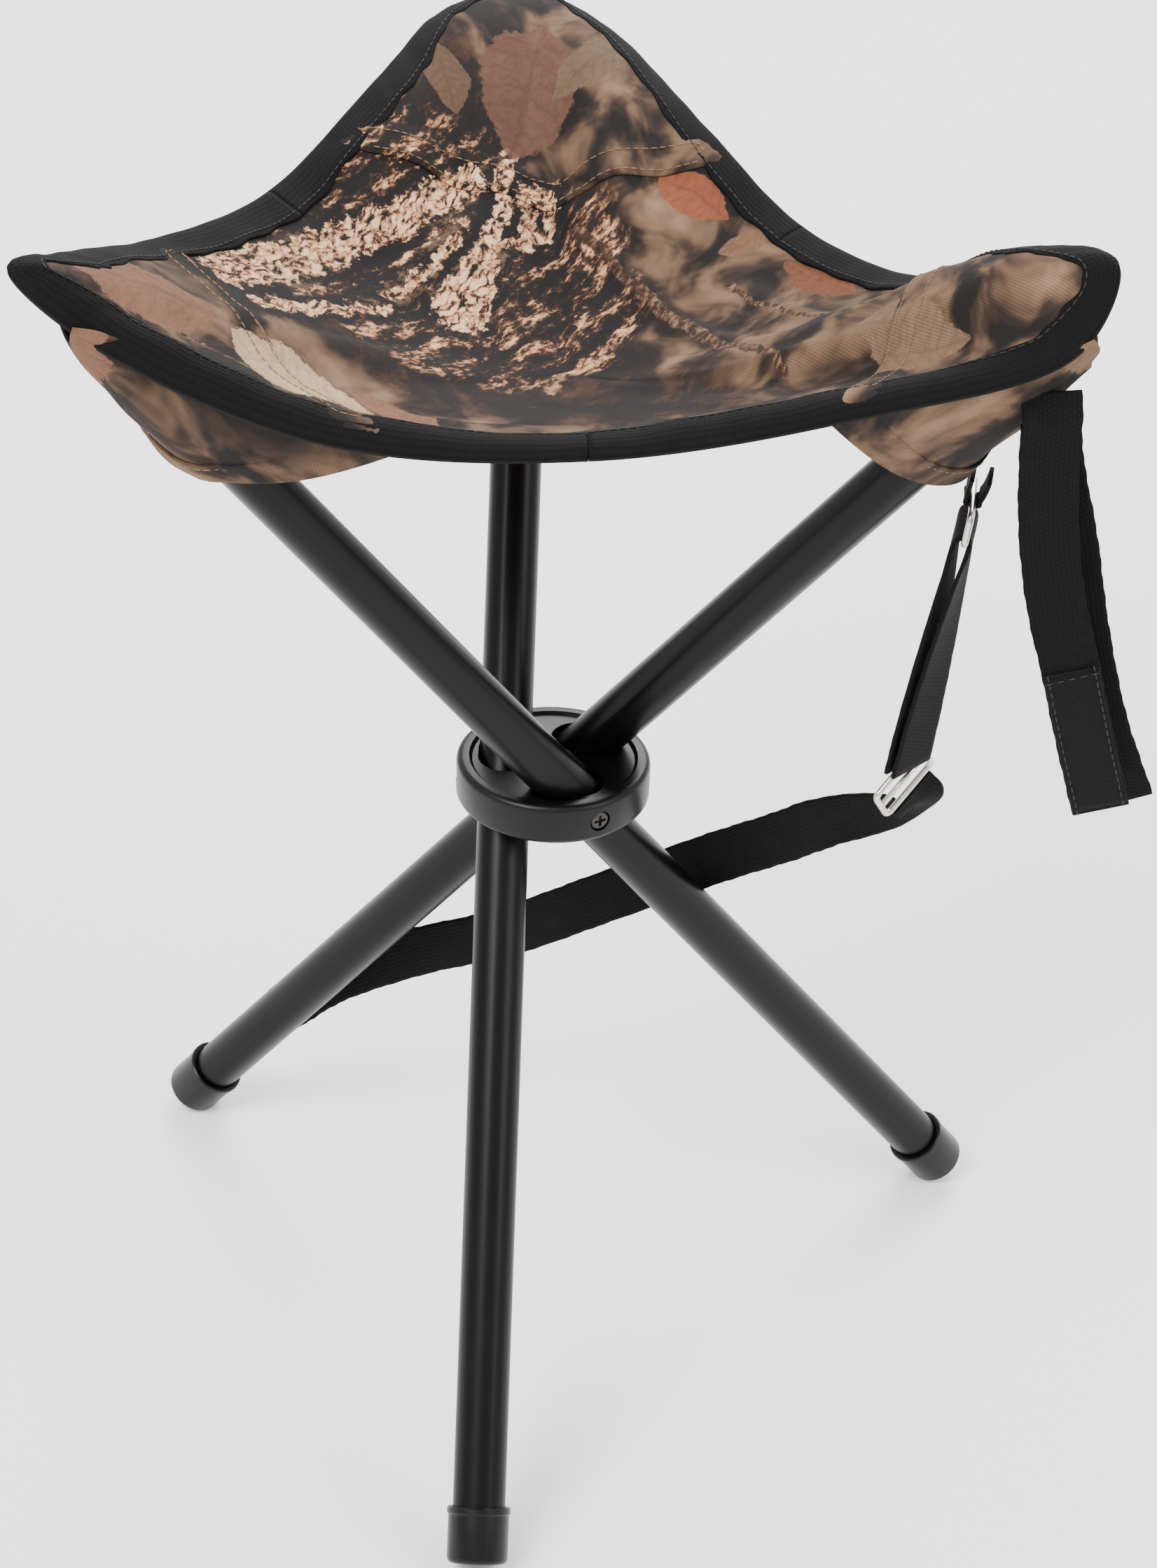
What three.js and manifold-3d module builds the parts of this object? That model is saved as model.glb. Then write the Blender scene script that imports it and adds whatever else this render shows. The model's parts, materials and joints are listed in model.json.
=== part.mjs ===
// A folding three leg stool. Three tubes cross in a round plastic hub, each turning on one radial
// screw, and their upper ends sit in the corner pockets of a bound cloth seat.
// Sizes are millimetres and +Z is up. The stool stands on z = 0 in its open position.
import * as THREE from "three";
import { mergeVertices } from "three/addons/utils/BufferGeometryUtils.js";
import Module from "manifold-3d";

const wasm = await Module();
wasm.setup();

// ---- Driving sizes: legs and hub ----
const tubeDiameter = 19;
const tubeWall = 1;
const legAbove = 275; // hub pivot to the tube's upper end
const legBelow = 283; // hub pivot to the tube's lower end
const openAngle = 38; // lean of each open leg, in degrees
const pivotRadius = 17.6; // hub axis to each leg's axis, measured at the pivots
const hubDiameter = 71;
const hubHeight = 16;
const hubEdgeRadius = 2.4;
const hubRecessDepth = 1.2;
const hubRimWidth = 4.6;
const slotClearance = 0.5;
const screwDiameter = 4;
const screwHeadDiameter = 7.4;
const screwHeadHeight = 2.4;
const screwTipRadius = 4.2; // hub axis to the screw's point
const crossLength = 4.6; // the screw's cross slots
const crossWidth = 1.1;
const crossDepth = 1.3;
const fitGap = 0.3; // between pieces that touch

// ---- Driving sizes: caps ----
const capWall = 1.2;
const capGrip = 17; // length of tube inside a foot cap
const capFloor = 3.2;
const capLip = 0.5; // how far the bead at the cap's mouth stands out
const capBead = 3; // length of that bead
const capEdgeRadius = 2.2;
const plugDepth = 14;
const plugWall = 1.2;
const plugDome = 3;

// ---- Driving sizes: seat ----
const clothThickness = 1;
const centreDrop = 52; // seat centre below the tubes' upper ends
const sagPower = 1.5;
const bindingWidth = 12.5;
const bindingThickness = 1;
const bindingGap = 0.056 * bindingWidth; // on each side of the cloth inside its binding
const pocketClearance = 3.5; // pocket cloth to the tube inside it
const pocketMouth = 68; // tube end to the pocket's open hem, along the tube
const pocketDrop = 0.4 * bindingWidth - 3.5; // pocket's edges below the binding they hang from

// ---- Driving sizes: webbing and its fittings ----
const webbingWidth = 20;
const webbingThickness = 1.5;
const narrowWebbingWidth = 8;
const gripPatchLength = 60;
const gripPatchThickness = 1.2;
const gripInset = 0.5; // from the patch's long edges to the webbing's
const wireDiameter = 2.4;
const ringHeight = 15;
const sliderHeight = 19;
const rivetHeadDiameter = 7;
const rivetHeadHeight = 1.6;
const rivetShankDiameter = 3.2;
const rivetAboveEnd = 70; // rivet of the carry strap to the tube's lower end
const strapTail = 11; // webbing beyond the rivet
const ringTabGap = 6; // between the two strands of the ring's tab
const strapFoldGap = 4; // between the two layers of the upper strap, at the slider

// ---- Sizes that follow from those above ----
const tubeRadius = tubeDiameter / 2;
const boreRadius = tubeRadius - tubeWall;
const lean = THREE.MathUtils.degToRad(openAngle);
const tipReach = legAbove * Math.sin(lean);
const tipHeight = legAbove * Math.cos(lean);
const capRadius = tubeRadius + fitGap + capWall;
const capEnd = legBelow + capFloor + fitGap;

const strapLeg = "c";
const strapEndAlong = rivetAboveEnd - legBelow;

// The azimuth of each leg's pivot on the hub, in degrees.
const legAzimuths = { a: -60, b: 180, c: 60 };

const finishes = {
  steel: { color: 0x1c1b1d, roughness: 0.42, metalness: 0.55 },
  hub: { color: 0x141415, roughness: 0.38, metalness: 0 },
  cap: { color: 0x0e0e0f, roughness: 0.35, metalness: 0 },
  cloth: { color: 0x6d5a44, roughness: 0.85, metalness: 0 },
  binding: { color: 0x111111, roughness: 0.8, metalness: 0 },
  webbing: { color: 0x0d0d0d, roughness: 0.85, metalness: 0 },
  grip: { color: 0x080808, roughness: 0.95, metalness: 0 },
  nickel: { color: 0xb9b4ae, roughness: 0.25, metalness: 1 },
  screw: { color: 0x2a2a2b, roughness: 0.35, metalness: 0.9 },
};

const stool = new THREE.Group();

function addNode(parent, name, geometry, finish) {
  const mesh = new THREE.Mesh(geometry, new THREE.MeshStandardMaterial(finishes[finish]));
  mesh.name = name;
  parent.add(mesh);
  return mesh;
}

// ---- Solids ----
function solidOf(geometry) {
  const bare = new THREE.BufferGeometry();
  const source = geometry.index ? geometry.toNonIndexed() : geometry;
  bare.setAttribute("position", source.getAttribute("position"));
  const merged = mergeVertices(bare, 1e-4);
  return new wasm.Manifold(new wasm.Mesh({
    numProp: 3,
    vertProperties: merged.attributes.position.array,
    triVerts: new Uint32Array(merged.index.array),
  }));
}

function geometryOf(solid) {
  const mesh = solid.getMesh();
  const geometry = new THREE.BufferGeometry();
  geometry.setAttribute("position", new THREE.BufferAttribute(mesh.vertProperties, 3));
  geometry.setIndex(new THREE.BufferAttribute(mesh.triVerts, 1));
  geometry.computeVertexNormals();
  return geometry;
}

// The base geometry less every one of the cutters.
function cut(base, cutters) {
  const start = solidOf(base);
  return geometryOf(cutters.reduce((left, cutter) => left.subtract(solidOf(cutter)), start));
}

// A solid of revolution about Z from [radius, height] pairs that run anticlockwise.
function turned(profile, sides) {
  const points = profile.map(([radius, height]) => new THREE.Vector2(radius, height));
  return new THREE.LatheGeometry(points, sides).rotateX(Math.PI / 2);
}

// Points of a quarter round from one angle to another, both in degrees.
function arc(centreRadius, centreHeight, radius, from, to, steps = 4) {
  const points = [];
  for (let i = 0; i <= steps; i++) {
    const angle = THREE.MathUtils.degToRad(from + (to - from) * i / steps);
    points.push([centreRadius + radius * Math.cos(angle), centreHeight + radius * Math.sin(angle)]);
  }
  return points;
}

// A cylinder that starts at `from` and runs along +X.
function rodAlongX(radius, from, to, sides = 20) {
  const rod = new THREE.CylinderGeometry(radius, radius, to - from, sides);
  return rod.rotateZ(-Math.PI / 2).translate((from + to) / 2, 0, 0);
}

// A closed sheet of even thickness whose middle surface is pointAt(u, v).
function sheet(pointAt, stepsU, stepsV, thickness) {
  const nudge = 1e-3;
  const normalAt = (u, v) => {
    const inU = THREE.MathUtils.clamp(u, nudge, 1 - nudge);
    const inV = THREE.MathUtils.clamp(v, nudge, 1 - nudge);
    const alongU = pointAt(inU + nudge, inV).sub(pointAt(inU - nudge, inV));
    const alongV = pointAt(inU, inV + nudge).sub(pointAt(inU, inV - nudge));
    return alongU.cross(alongV).normalize();
  };
  const row = stepsV + 1;
  const layer = (stepsU + 1) * row;
  const positions = [];
  for (const side of [0.5, -0.5])
    for (let i = 0; i <= stepsU; i++)
      for (let j = 0; j <= stepsV; j++) {
        const [u, v] = [i / stepsU, j / stepsV];
        positions.push(...pointAt(u, v).addScaledVector(normalAt(u, v), side * thickness));
      }
  const faces = [];
  const quad = (a, b, c, d) => faces.push(a, b, c, a, c, d);
  for (let i = 0; i < stepsU; i++)
    for (let j = 0; j < stepsV; j++) {
      const corner = i * row + j;
      quad(corner, corner + row, corner + row + 1, corner + 1);
      quad(layer + corner, layer + corner + 1, layer + corner + row + 1, layer + corner + row);
    }
  for (let i = 0; i < stepsU; i++) {
    const [near, far] = [i * row, i * row + stepsV];
    quad(near + row, near, layer + near, layer + near + row);
    quad(far, far + row, layer + far + row, layer + far);
  }
  for (let j = 0; j < stepsV; j++) {
    const last = stepsU * row + j;
    quad(j, j + 1, layer + j + 1, layer + j);
    quad(last + 1, last, layer + last, layer + last + 1);
  }
  return closedGeometry(positions, faces);
}

function closedGeometry(positions, faces) {
  const geometry = new THREE.BufferGeometry();
  geometry.setAttribute("position", new THREE.Float32BufferAttribute(positions, 3));
  geometry.setIndex(faces);
  const solid = solidOf(geometry);
  if (solid.volume() > 0) return geometryOf(solid);
  for (let i = 0; i < faces.length; i += 3) [faces[i + 1], faces[i + 2]] = [faces[i + 2], faces[i + 1]];
  geometry.setIndex(faces);
  return geometryOf(solidOf(geometry));
}

// A flat band along a curve through the points; widthAt(u) is the direction across the band.
function band(points, widthAt, width, thickness, steps) {
  const curve = new THREE.CatmullRomCurve3(points, false, "centripetal");
  const pointAt = (u, v) => curve.getPoint(u).addScaledVector(widthAt(u), (v - 0.5) * width);
  return sheet(pointAt, steps, 1, thickness);
}

// Turns smoothly from one direction to another as u goes from 0 to 1.
function turning(from, to) {
  return (u) => from.clone().lerp(to, THREE.MathUtils.smoothstep(u, 0, 1)).normalize();
}

// ---- Leg directions, all in the hub's frame ----
const azimuthOf = (leg) => THREE.MathUtils.degToRad(legAzimuths[leg]);
const radialOf = (leg) => new THREE.Vector3(Math.cos(azimuthOf(leg)), Math.sin(azimuthOf(leg)), 0);
const outwardOf = (leg) => new THREE.Vector3(Math.sin(azimuthOf(leg)), -Math.cos(azimuthOf(leg)), 0);

// A point beside a leg: `along` up its axis, `below` square to it on its under side, `beside` outwards
// from the hub's axis.
function byLeg(leg, along, below, beside) {
  const up = outwardOf(leg).multiplyScalar(Math.sin(lean)).setZ(Math.cos(lean));
  const under = outwardOf(leg).multiplyScalar(Math.cos(lean)).setZ(-Math.sin(lean));
  return radialOf(leg).multiplyScalar(pivotRadius + beside).addScaledVector(up, along)
    .addScaledVector(under, below);
}

// Moves a point below or beside a leg square away from its axis until it is `distance` from it.
function clearOfLeg(point, leg, distance) {
  const base = byLeg(leg, 0, 0, 0);
  const up = byLeg(leg, 1, 0, 0).sub(base);
  const under = byLeg(leg, 0, 1, 0).sub(base);
  const foot = base.clone().addScaledVector(up, point.clone().sub(base).dot(up));
  const away = point.clone().sub(foot);
  const above = -away.dot(under) > away.length() * 0.5;
  if (above || away.length() > distance) return point;
  return foot.add(away.setLength(distance));
}

// ---- Hub ----
function hubBlank() {
  const [radius, half, round] = [hubDiameter / 2, hubHeight / 2, hubEdgeRadius];
  const inner = radius - hubRimWidth;
  return turned([
    [0, -half],
    [radius - round, -half],
    ...arc(radius - round, -half + round, round, -75, 0),
    ...arc(radius - round, half - round, round, 0, 90),
    [inner, half],
    [inner - hubRecessDepth, half - hubRecessDepth],
    [0, half - hubRecessDepth],
  ], 48);
}

// The room that one leg sweeps through the hub, from upright to fully open.
function slotCutters(leg) {
  const stops = 3;
  const cutters = [];
  for (let i = 0; i <= stops; i++) {
    const sweep = new THREE.CylinderGeometry(tubeRadius + slotClearance, tubeRadius + slotClearance,
      hubDiameter, 24).rotateX(Math.PI / 2);
    sweep.rotateX(lean * i / stops).translate(pivotRadius, 0, 0).rotateZ(azimuthOf(leg));
    cutters.push(sweep);
  }
  return cutters;
}

function screwHoleCutters(leg) {
  const rim = hubDiameter / 2;
  const shank = rodAlongX(screwDiameter / 2 + fitGap, screwTipRadius - fitGap, rim + 1);
  const seat = rodAlongX(screwHeadDiameter / 2 + fitGap, rim - screwHeadHeight - 2 * fitGap, rim + 1);
  return [shank, seat].map((cutter) => cutter.rotateZ(azimuthOf(leg)));
}

function addHub() {
  const legs = Object.keys(legAzimuths);
  const cutters = legs.flatMap((leg) => [...slotCutters(leg), ...screwHoleCutters(leg)]);
  addNode(stool, "hub", cut(hubBlank(), cutters), "hub");
}

// A cross-head screw lying along +X, its head flush with the hub's rim.
function pivotScrewGeometry() {
  const face = hubDiameter / 2 - fitGap;
  const neck = face - screwHeadHeight;
  const [shank, head] = [screwDiameter / 2, screwHeadDiameter / 2];
  const body = turned([
    [0, screwTipRadius],
    [shank - 1, screwTipRadius],
    [shank, screwTipRadius + 1.5],
    [shank, neck],
    [head, neck],
    ...arc(head - 1, face - 1, 1, 0, 90, 3),
    [0, face],
  ], 20).rotateY(Math.PI / 2);
  const slot = new THREE.BoxGeometry(2 * crossDepth, crossWidth, crossLength);
  const first = slot.clone().translate(face, 0, 0);
  const second = slot.clone().rotateX(Math.PI / 2).translate(face, 0, 0);
  return cut(body, [first, second]);
}

// ---- Legs: each is drawn along its own Z in a group leaned about its radial pivot ----
function tubeGeometry(leg) {
  const tube = turned([
    [boreRadius, -legBelow],
    [tubeRadius, -legBelow],
    [tubeRadius, legAbove],
    [boreRadius, legAbove],
    [boreRadius, -legBelow],
  ], 32);
  const crossHole = rodAlongX(screwDiameter / 2 + fitGap, -tubeDiameter, tubeDiameter);
  if (leg !== strapLeg) return cut(tube, [crossHole]);
  const rivetHole = rodAlongX(rivetShankDiameter / 2 + fitGap, 0, tubeDiameter, 12);
  return cut(tube, [crossHole, rivetHole.translate(0, 0, strapEndAlong)]);
}

function footCapGeometry() {
  const bore = tubeRadius + fitGap;
  const round = capEdgeRadius;
  const mouth = -legBelow + capGrip;
  return turned([
    [0, -capEnd],
    [capRadius - round, -capEnd],
    ...arc(capRadius - round, -capEnd + round, round, -65, 0, 3),
    [capRadius, mouth - capBead],
    [capRadius + capLip, mouth - capBead * 0.75],
    [capRadius + capLip, mouth - capBead * 0.2],
    [capRadius, mouth],
    [bore, mouth],
    [bore, -legBelow - fitGap],
    [0, -legBelow - fitGap],
  ], 28);
}

function endPlugGeometry() {
  const stem = boreRadius - fitGap;
  const under = legAbove + fitGap;
  return turned([
    [0, legAbove],
    [stem - plugWall, legAbove],
    [stem - plugWall, legAbove - plugDepth],
    [stem, legAbove - plugDepth],
    [stem, under],
    [tubeRadius, under],
    [tubeRadius, under + 1],
    [tubeRadius * 0.82, under + plugDome * 0.7],
    [tubeRadius * 0.45, under + plugDome * 0.95],
    [0, under + plugDome],
  ], 28);
}

function addLeg(leg) {
  const turn = new THREE.Group();
  turn.rotation.z = azimuthOf(leg);
  const pivot = new THREE.Group();
  pivot.position.x = pivotRadius;
  pivot.rotation.x = lean;
  turn.add(pivot);
  stool.add(turn);
  addNode(turn, `pivot_screw_${leg}`, pivotScrewGeometry(), "screw");
  addNode(pivot, `leg_tube_${leg}`, tubeGeometry(leg), "steel");
  addNode(pivot, `foot_cap_${leg}`, footCapGeometry(), "cap");
  addNode(pivot, `end_plug_${leg}`, endPlugGeometry(), "cap");
}

// ---- Seat outline: the outer edge of the binding, as [x, y, height above the tube ends] ----
// It is drawn for 19 mm tubes that reach 170 mm out. It grows with their reach, but its corners
// keep their distance past the tubes' ends, and a wider or a nearer tube lifts them further.
const drawnReach = 170;
const drawnTubeRadius = 9.5;
const cornerReach = 169.3; // reach at which the corners keep the drawn plan
const outline = [
  [-152, -121, 15], [-177, -119, 38], [-167, -96, 32], // corner a
  [-141, -36, 10], [-107, 32, -3], [-71, 104, 10], // left edge
  [-49, 160, 11], [-18, 197, -1], [10, 166, 3], // corner b
  [45, 112, -7], [83, 60, -23], [126, 1, -13], // right edge
  [159, -49, 24], [178, -78, 33], [166, -89, 7], // corner c
  [95, -99, -14], [8, -111, -26], [-79, -117, -20], // front edge
];
const cornerAt = { a: 1, b: 7, c: 13 }; // place of each corner's tip in the outline
const midEdgeAt = { left: 4, right: 10, front: 16 };
// Where the seam of each corner piece meets the outline, before and after the corner.
const seamAt = { a: [-1.3, 3.1], b: [4.4, 9.4], c: [11.05, 15.1] };
// How far each corner is lifted over its tube end, in mm.
const cornerLift = { a: 9, b: 28, c: 11 };

const outlineCurve = new THREE.CatmullRomCurve3(
  outline.map(([x, y, rise]) => {
    const growth = tipReach / drawnReach;
    const out = Math.hypot(x, y);
    const scale = growth + (1 - tipReach / cornerReach) * Math.max(0, out - drawnReach) / out;
    return new THREE.Vector3(x * scale, y * scale, tipHeight + rise);
  }), true, "centripetal");
const seatCentre = new THREE.Vector3(0, 0, tipHeight - centreDrop);

// A point of the outline; `place` counts along its list and wraps round.
function outlineAt(place) {
  const turns = place / outline.length;
  return outlineCurve.getPoint(turns - Math.floor(turns));
}

function liftAt(place) {
  const spread = 3; // places on each side of a corner that its lift reaches
  const extra = 2.4 * (tubeRadius - drawnTubeRadius) + 34 * Math.max(0, 1 - tipReach / cornerReach);
  const lift = (corner) => cornerLift[corner] + extra;
  return Object.keys(cornerAt).reduce((sum, corner) => {
    const around = outline.length;
    const away = Math.abs((((place - cornerAt[corner]) % around) + 1.5 * around) % around - around / 2);
    return sum + (away < spread ? lift(corner) * Math.cos(away / spread * Math.PI / 2) ** 2 : 0);
  }, 0);
}

// The seat's middle surface: `share` runs from 0 at the centre to 1 at the outline.
function seatPoint(place, share) {
  const rim = outlineAt(place);
  const bumpPeak = 27 / 256; // the most that the product below reaches, at a share of 3/4
  const bump = share ** 3 * (1 - share) / bumpPeak;
  const point = new THREE.Vector3().lerpVectors(seatCentre, rim, share);
  point.z = seatCentre.z + (rim.z - seatCentre.z) * share ** sagPower + liftAt(place) * bump;
  return point;
}

// The share of the way out that lies `inset` mm square inside the outline.
function shareInside(place, inset) {
  const rim = outlineAt(place);
  const run = outlineAt(place + 0.02).sub(outlineAt(place - 0.02)).setZ(0).normalize();
  const out = rim.clone().sub(seatCentre).setZ(0);
  const slant = Math.abs(run.x * out.y - run.y * out.x) / out.length();
  return 1 - inset / (out.length() * Math.max(slant, 0.5));
}

// The share at which the straight seam between two outline places is crossed.
function seamShare(place, [from, to], shift) {
  const [start, end, rim] = [outlineAt(from), outlineAt(to), outlineAt(place)];
  const across = new THREE.Vector2(end.y - start.y, start.x - end.x).normalize();
  const reach = across.x * start.x + across.y * start.y;
  return (reach + shift * Math.sign(reach)) / (across.x * rim.x + across.y * rim.y);
}

// The seat's upward normal at a place and share.
function seatNormal(place, share) {
  const nudge = 0.01;
  const round = seatPoint(place + nudge, share).sub(seatPoint(place - nudge, share));
  const out = seatPoint(place, share + nudge).sub(seatPoint(place, share - nudge));
  const normal = out.cross(round).normalize();
  return normal.z < 0 ? normal.negate() : normal;
}

const clothInset = bindingThickness + bindingGap; // the cloth's raw edge inside its binding
const bindingJoin = 0.003; // half the gap between two tapes, in places of the outline
const stepsPerPlace = 6; // of the meshes, between two places of the outline
const lap = clothThickness / 2 + fitGap; // from each seam's line to the cloth on either side
const leastStep = 1e-3; // between two rings of a mesh, as a share

// How far out the centre panel reaches at a place of the outline.
function panelShare(place) {
  const around = outline.length;
  for (const [from, to] of Object.values(seamAt)) {
    const inside = (((place - from) % around) + around) % around;
    if (inside < to - from) return Math.min(shareInside(place, clothInset),
      seamShare(place, [from, to], -lap));
  }
  return shareInside(place, clothInset);
}

function centrePanelGeometry() {
  const [rounds, rings] = [outline.length * stepsPerPlace, 5];
  const positions = [];
  const faces = [];
  for (const side of [0.5, -0.5]) {
    positions.push(seatCentre.x, seatCentre.y, seatCentre.z + side * clothThickness);
    for (let ring = 1; ring <= rings; ring++)
      for (let k = 0; k < rounds; k++) {
        const place = k / stepsPerPlace;
        const raw = panelShare(place);
        const taped = Math.min(raw, shareInside(place, bindingWidth));
        const share = ring < rings ? taped * ring / (rings - 1) : Math.max(raw, taped + leastStep);
        const rise = seatNormal(place, share).multiplyScalar(side * clothThickness);
        positions.push(...seatPoint(place, share).add(rise));
      }
  }
  const layer = 1 + rounds * rings;
  const at = (side, ring, k) => side * layer + 1 + (ring - 1) * rounds + (k % rounds);
  for (let k = 0; k < rounds; k++) {
    faces.push(0, at(0, 1, k + 1), at(0, 1, k));
    faces.push(layer, at(1, 1, k), at(1, 1, k + 1));
    for (let ring = 1; ring < rings; ring++) {
      faces.push(at(0, ring, k), at(0, ring, k + 1), at(0, ring + 1, k + 1));
      faces.push(at(0, ring, k), at(0, ring + 1, k + 1), at(0, ring + 1, k));
      faces.push(at(1, ring, k), at(1, ring + 1, k + 1), at(1, ring, k + 1));
      faces.push(at(1, ring, k), at(1, ring + 1, k), at(1, ring + 1, k + 1));
    }
    faces.push(at(0, rings, k), at(0, rings, k + 1), at(1, rings, k + 1));
    faces.push(at(0, rings, k), at(1, rings, k + 1), at(1, rings, k));
  }
  return closedGeometry(positions, faces);
}

// The cloth of one corner, from its seam out to the raw edge inside the binding.
function cornerPanelGeometry(corner) {
  const [from, to] = seamAt[corner];
  const margin = 0.06 * (to - from); // kept clear at both ends of the seam
  const [free, taped] = [5, 1];
  const bend = free / (free + taped);
  const pointAt = (u, v) => {
    const place = from + margin + (to - from - 2 * margin) * u;
    const seam = seamShare(place, [from, to], lap);
    const raw = shareInside(place, clothInset);
    const taped = Math.max(shareInside(place, bindingWidth), seam + leastStep);
    const inner = Math.min(taped, raw - leastStep);
    const share = v < bend ? seam + (inner - seam) * v / bend
      : inner + (raw - inner) * (v - bend) / (1 - bend);
    return seatPoint(place, share);
  };
  return sheet(pointAt, Math.round((to - from) * stepsPerPlace), free + taped, clothThickness);
}

// The folded tape that runs round one corner, from one mid-edge to the next.
function bindingGeometry(from, to) {
  const steps = (to - from) * stepsPerPlace;
  const half = clothThickness / 2 + bindingGap;
  const outer = half + bindingThickness;
  const section = [
    [0, -outer], [0, outer], [bindingWidth, outer], [bindingWidth, half],
    [bindingThickness, half], [bindingThickness, -half], [bindingWidth, -half], [bindingWidth, -outer],
  ];
  const positions = [];
  for (let i = 0; i <= steps; i++) {
    const place = from + bindingJoin + (to - from - 2 * bindingJoin) * i / steps;
    for (const [inset, rise] of section) {
      const share = shareInside(place, inset);
      positions.push(...seatPoint(place, share).addScaledVector(seatNormal(place, share), rise));
    }
  }
  const count = section.length;
  const faces = [];
  for (let i = 0; i < steps; i++)
    for (let k = 0; k < count; k++) {
      const [a, b] = [i * count + k, i * count + (k + 1) % count];
      faces.push(a, b, b + count, a, b + count, a + count);
    }
  const endFaces = [[0, 1, 4], [1, 3, 4], [1, 2, 3], [0, 4, 5], [0, 5, 7], [5, 6, 7]];
  for (const [start, flip] of [[0, false], [steps * count, true]])
    for (const [a, b, c] of endFaces)
      faces.push(start + a, start + (flip ? b : c), start + (flip ? c : b));
  return closedGeometry(positions, faces);
}

// The pocket under one corner: it hangs from the cloth near both edges and passes under the tube.
function pocketGeometry(corner) {
  const tip = cornerAt[corner];
  const [seamStart, seamEnd] = seamAt[corner];
  const [hem, top] = [0.78, 0.3]; // how far from the corner's tip it starts and ends, of each edge
  const past = plugDome + 6; // how far it passes the tube's end
  const under = tubeRadius + pocketClearance + clothThickness;
  const hang = clothThickness + bindingGap + bindingThickness + pocketDrop; // below the cloth above
  const inset = bindingWidth / 3;
  const pointAt = (u, v) => {
    const near = hem + (top - hem) * u;
    const edges = [seamStart, seamEnd].map((seam) => {
      const place = tip + (seam - tip) * near;
      const share = shareInside(place, inset);
      return seatPoint(place, share).addScaledVector(seatNormal(place, share), -hang);
    });
    const along = legAbove - pocketMouth + (pocketMouth + past) * u;
    const low = byLeg(corner, along, under, 0);
    const middle = edges[0].clone().add(edges[1]).multiplyScalar(0.5);
    const sag = low.sub(middle).multiplyScalar(4 * v * (1 - v));
    return clearOfLeg(edges[0].lerp(edges[1], v).add(sag), corner, under);
  };
  return sheet(pointAt, 14, 8, clothThickness);
}

function addSeat() {
  addNode(stool, "seat_panel", centrePanelGeometry(), "cloth");
  const edges = { a: [midEdgeAt.front - outline.length, midEdgeAt.left],
    b: [midEdgeAt.left, midEdgeAt.right], c: [midEdgeAt.right, midEdgeAt.front] };
  for (const corner of Object.keys(cornerAt)) {
    addNode(stool, `corner_panel_${corner}`, cornerPanelGeometry(corner), "cloth");
    addNode(stool, `corner_pocket_${corner}`, pocketGeometry(corner), "cloth");
    addNode(stool, `edge_binding_${corner}`, bindingGeometry(...edges[corner]), "binding");
  }
}

// ---- Webbing: its places are by the strap's own leg, and stretch with that leg ----
const vector = (x, y, z) => new THREE.Vector3(x, y, z);
const drawnAbove = 275;
const drawnBelow = 283;
const least = 1e-3; // kept short of a curve's end where its tangent is taken

function byStrapLeg(along, below, beside) {
  const stretch = along > 0 ? legAbove / drawnAbove : legBelow / drawnBelow;
  return byLeg(strapLeg, along * stretch, below, beside);
}

// Turns a piece drawn along a leg's own axes into the hub's frame.
function placedOnLeg(geometry, leg) {
  return geometry.rotateX(lean).translate(pivotRadius, 0, 0).rotateZ(azimuthOf(leg));
}

// A flat frame of wire: `bars` across its width leave one opening between each pair.
function wireFrame(width, height, bars, centre, across, down) {
  const shape = new THREE.Shape();
  const [w, h] = [width / 2, height / 2];
  shape.moveTo(-w, -h).lineTo(w, -h).lineTo(w, h).lineTo(-w, h).closePath();
  const opening = (height - bars * wireDiameter) / (bars - 1);
  for (let i = 0; i < bars - 1; i++) {
    const low = -h + wireDiameter + i * (opening + wireDiameter);
    const hole = new THREE.Path();
    hole.moveTo(-w + wireDiameter, low).lineTo(-w + wireDiameter, low + opening);
    hole.lineTo(w - wireDiameter, low + opening).lineTo(w - wireDiameter, low).closePath();
    shape.holes.push(hole);
  }
  const frame = new THREE.ExtrudeGeometry(shape, { depth: wireDiameter, bevelEnabled: false });
  frame.translate(0, 0, -wireDiameter / 2);
  const x = across.clone().normalize();
  const z = x.clone().cross(down).normalize();
  const y = z.clone().cross(x);
  return frame.applyMatrix4(new THREE.Matrix4().makeBasis(x, y, z).setPosition(centre));
}

// A band that runs from `start` to a bar, round it and back, its two runs `apart` at the start.
function loopedBand(start, bar, acrossStart, acrossBar, width, thickness, apart) {
  const turn = (wireDiameter * Math.SQRT2 + thickness) / 2 + 3 * fitGap;
  const along = bar.clone().sub(start).normalize();
  const acrossAt = turning(acrossStart, acrossBar);
  const runPoint = (t, side) => {
    const spread = THREE.MathUtils.lerp(apart / 2, turn, THREE.MathUtils.smoothstep(t, 0.4, 0.95));
    const off = acrossAt(t).cross(along).normalize().multiplyScalar(side * spread);
    return start.clone().lerp(bar, t).add(off);
  };
  const stops = [0, 0.3, 0.6, 0.85, 1];
  const points = [
    ...stops.map((t) => runPoint(t, 1)),
    bar.clone().addScaledVector(along, turn),
    ...stops.toReversed().map((t) => runPoint(t, -1)),
  ];
  const widthAt = (u) => acrossAt(1 - Math.abs(2 * u - 1));
  return band(points, widthAt, width, thickness, 30);
}

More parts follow.
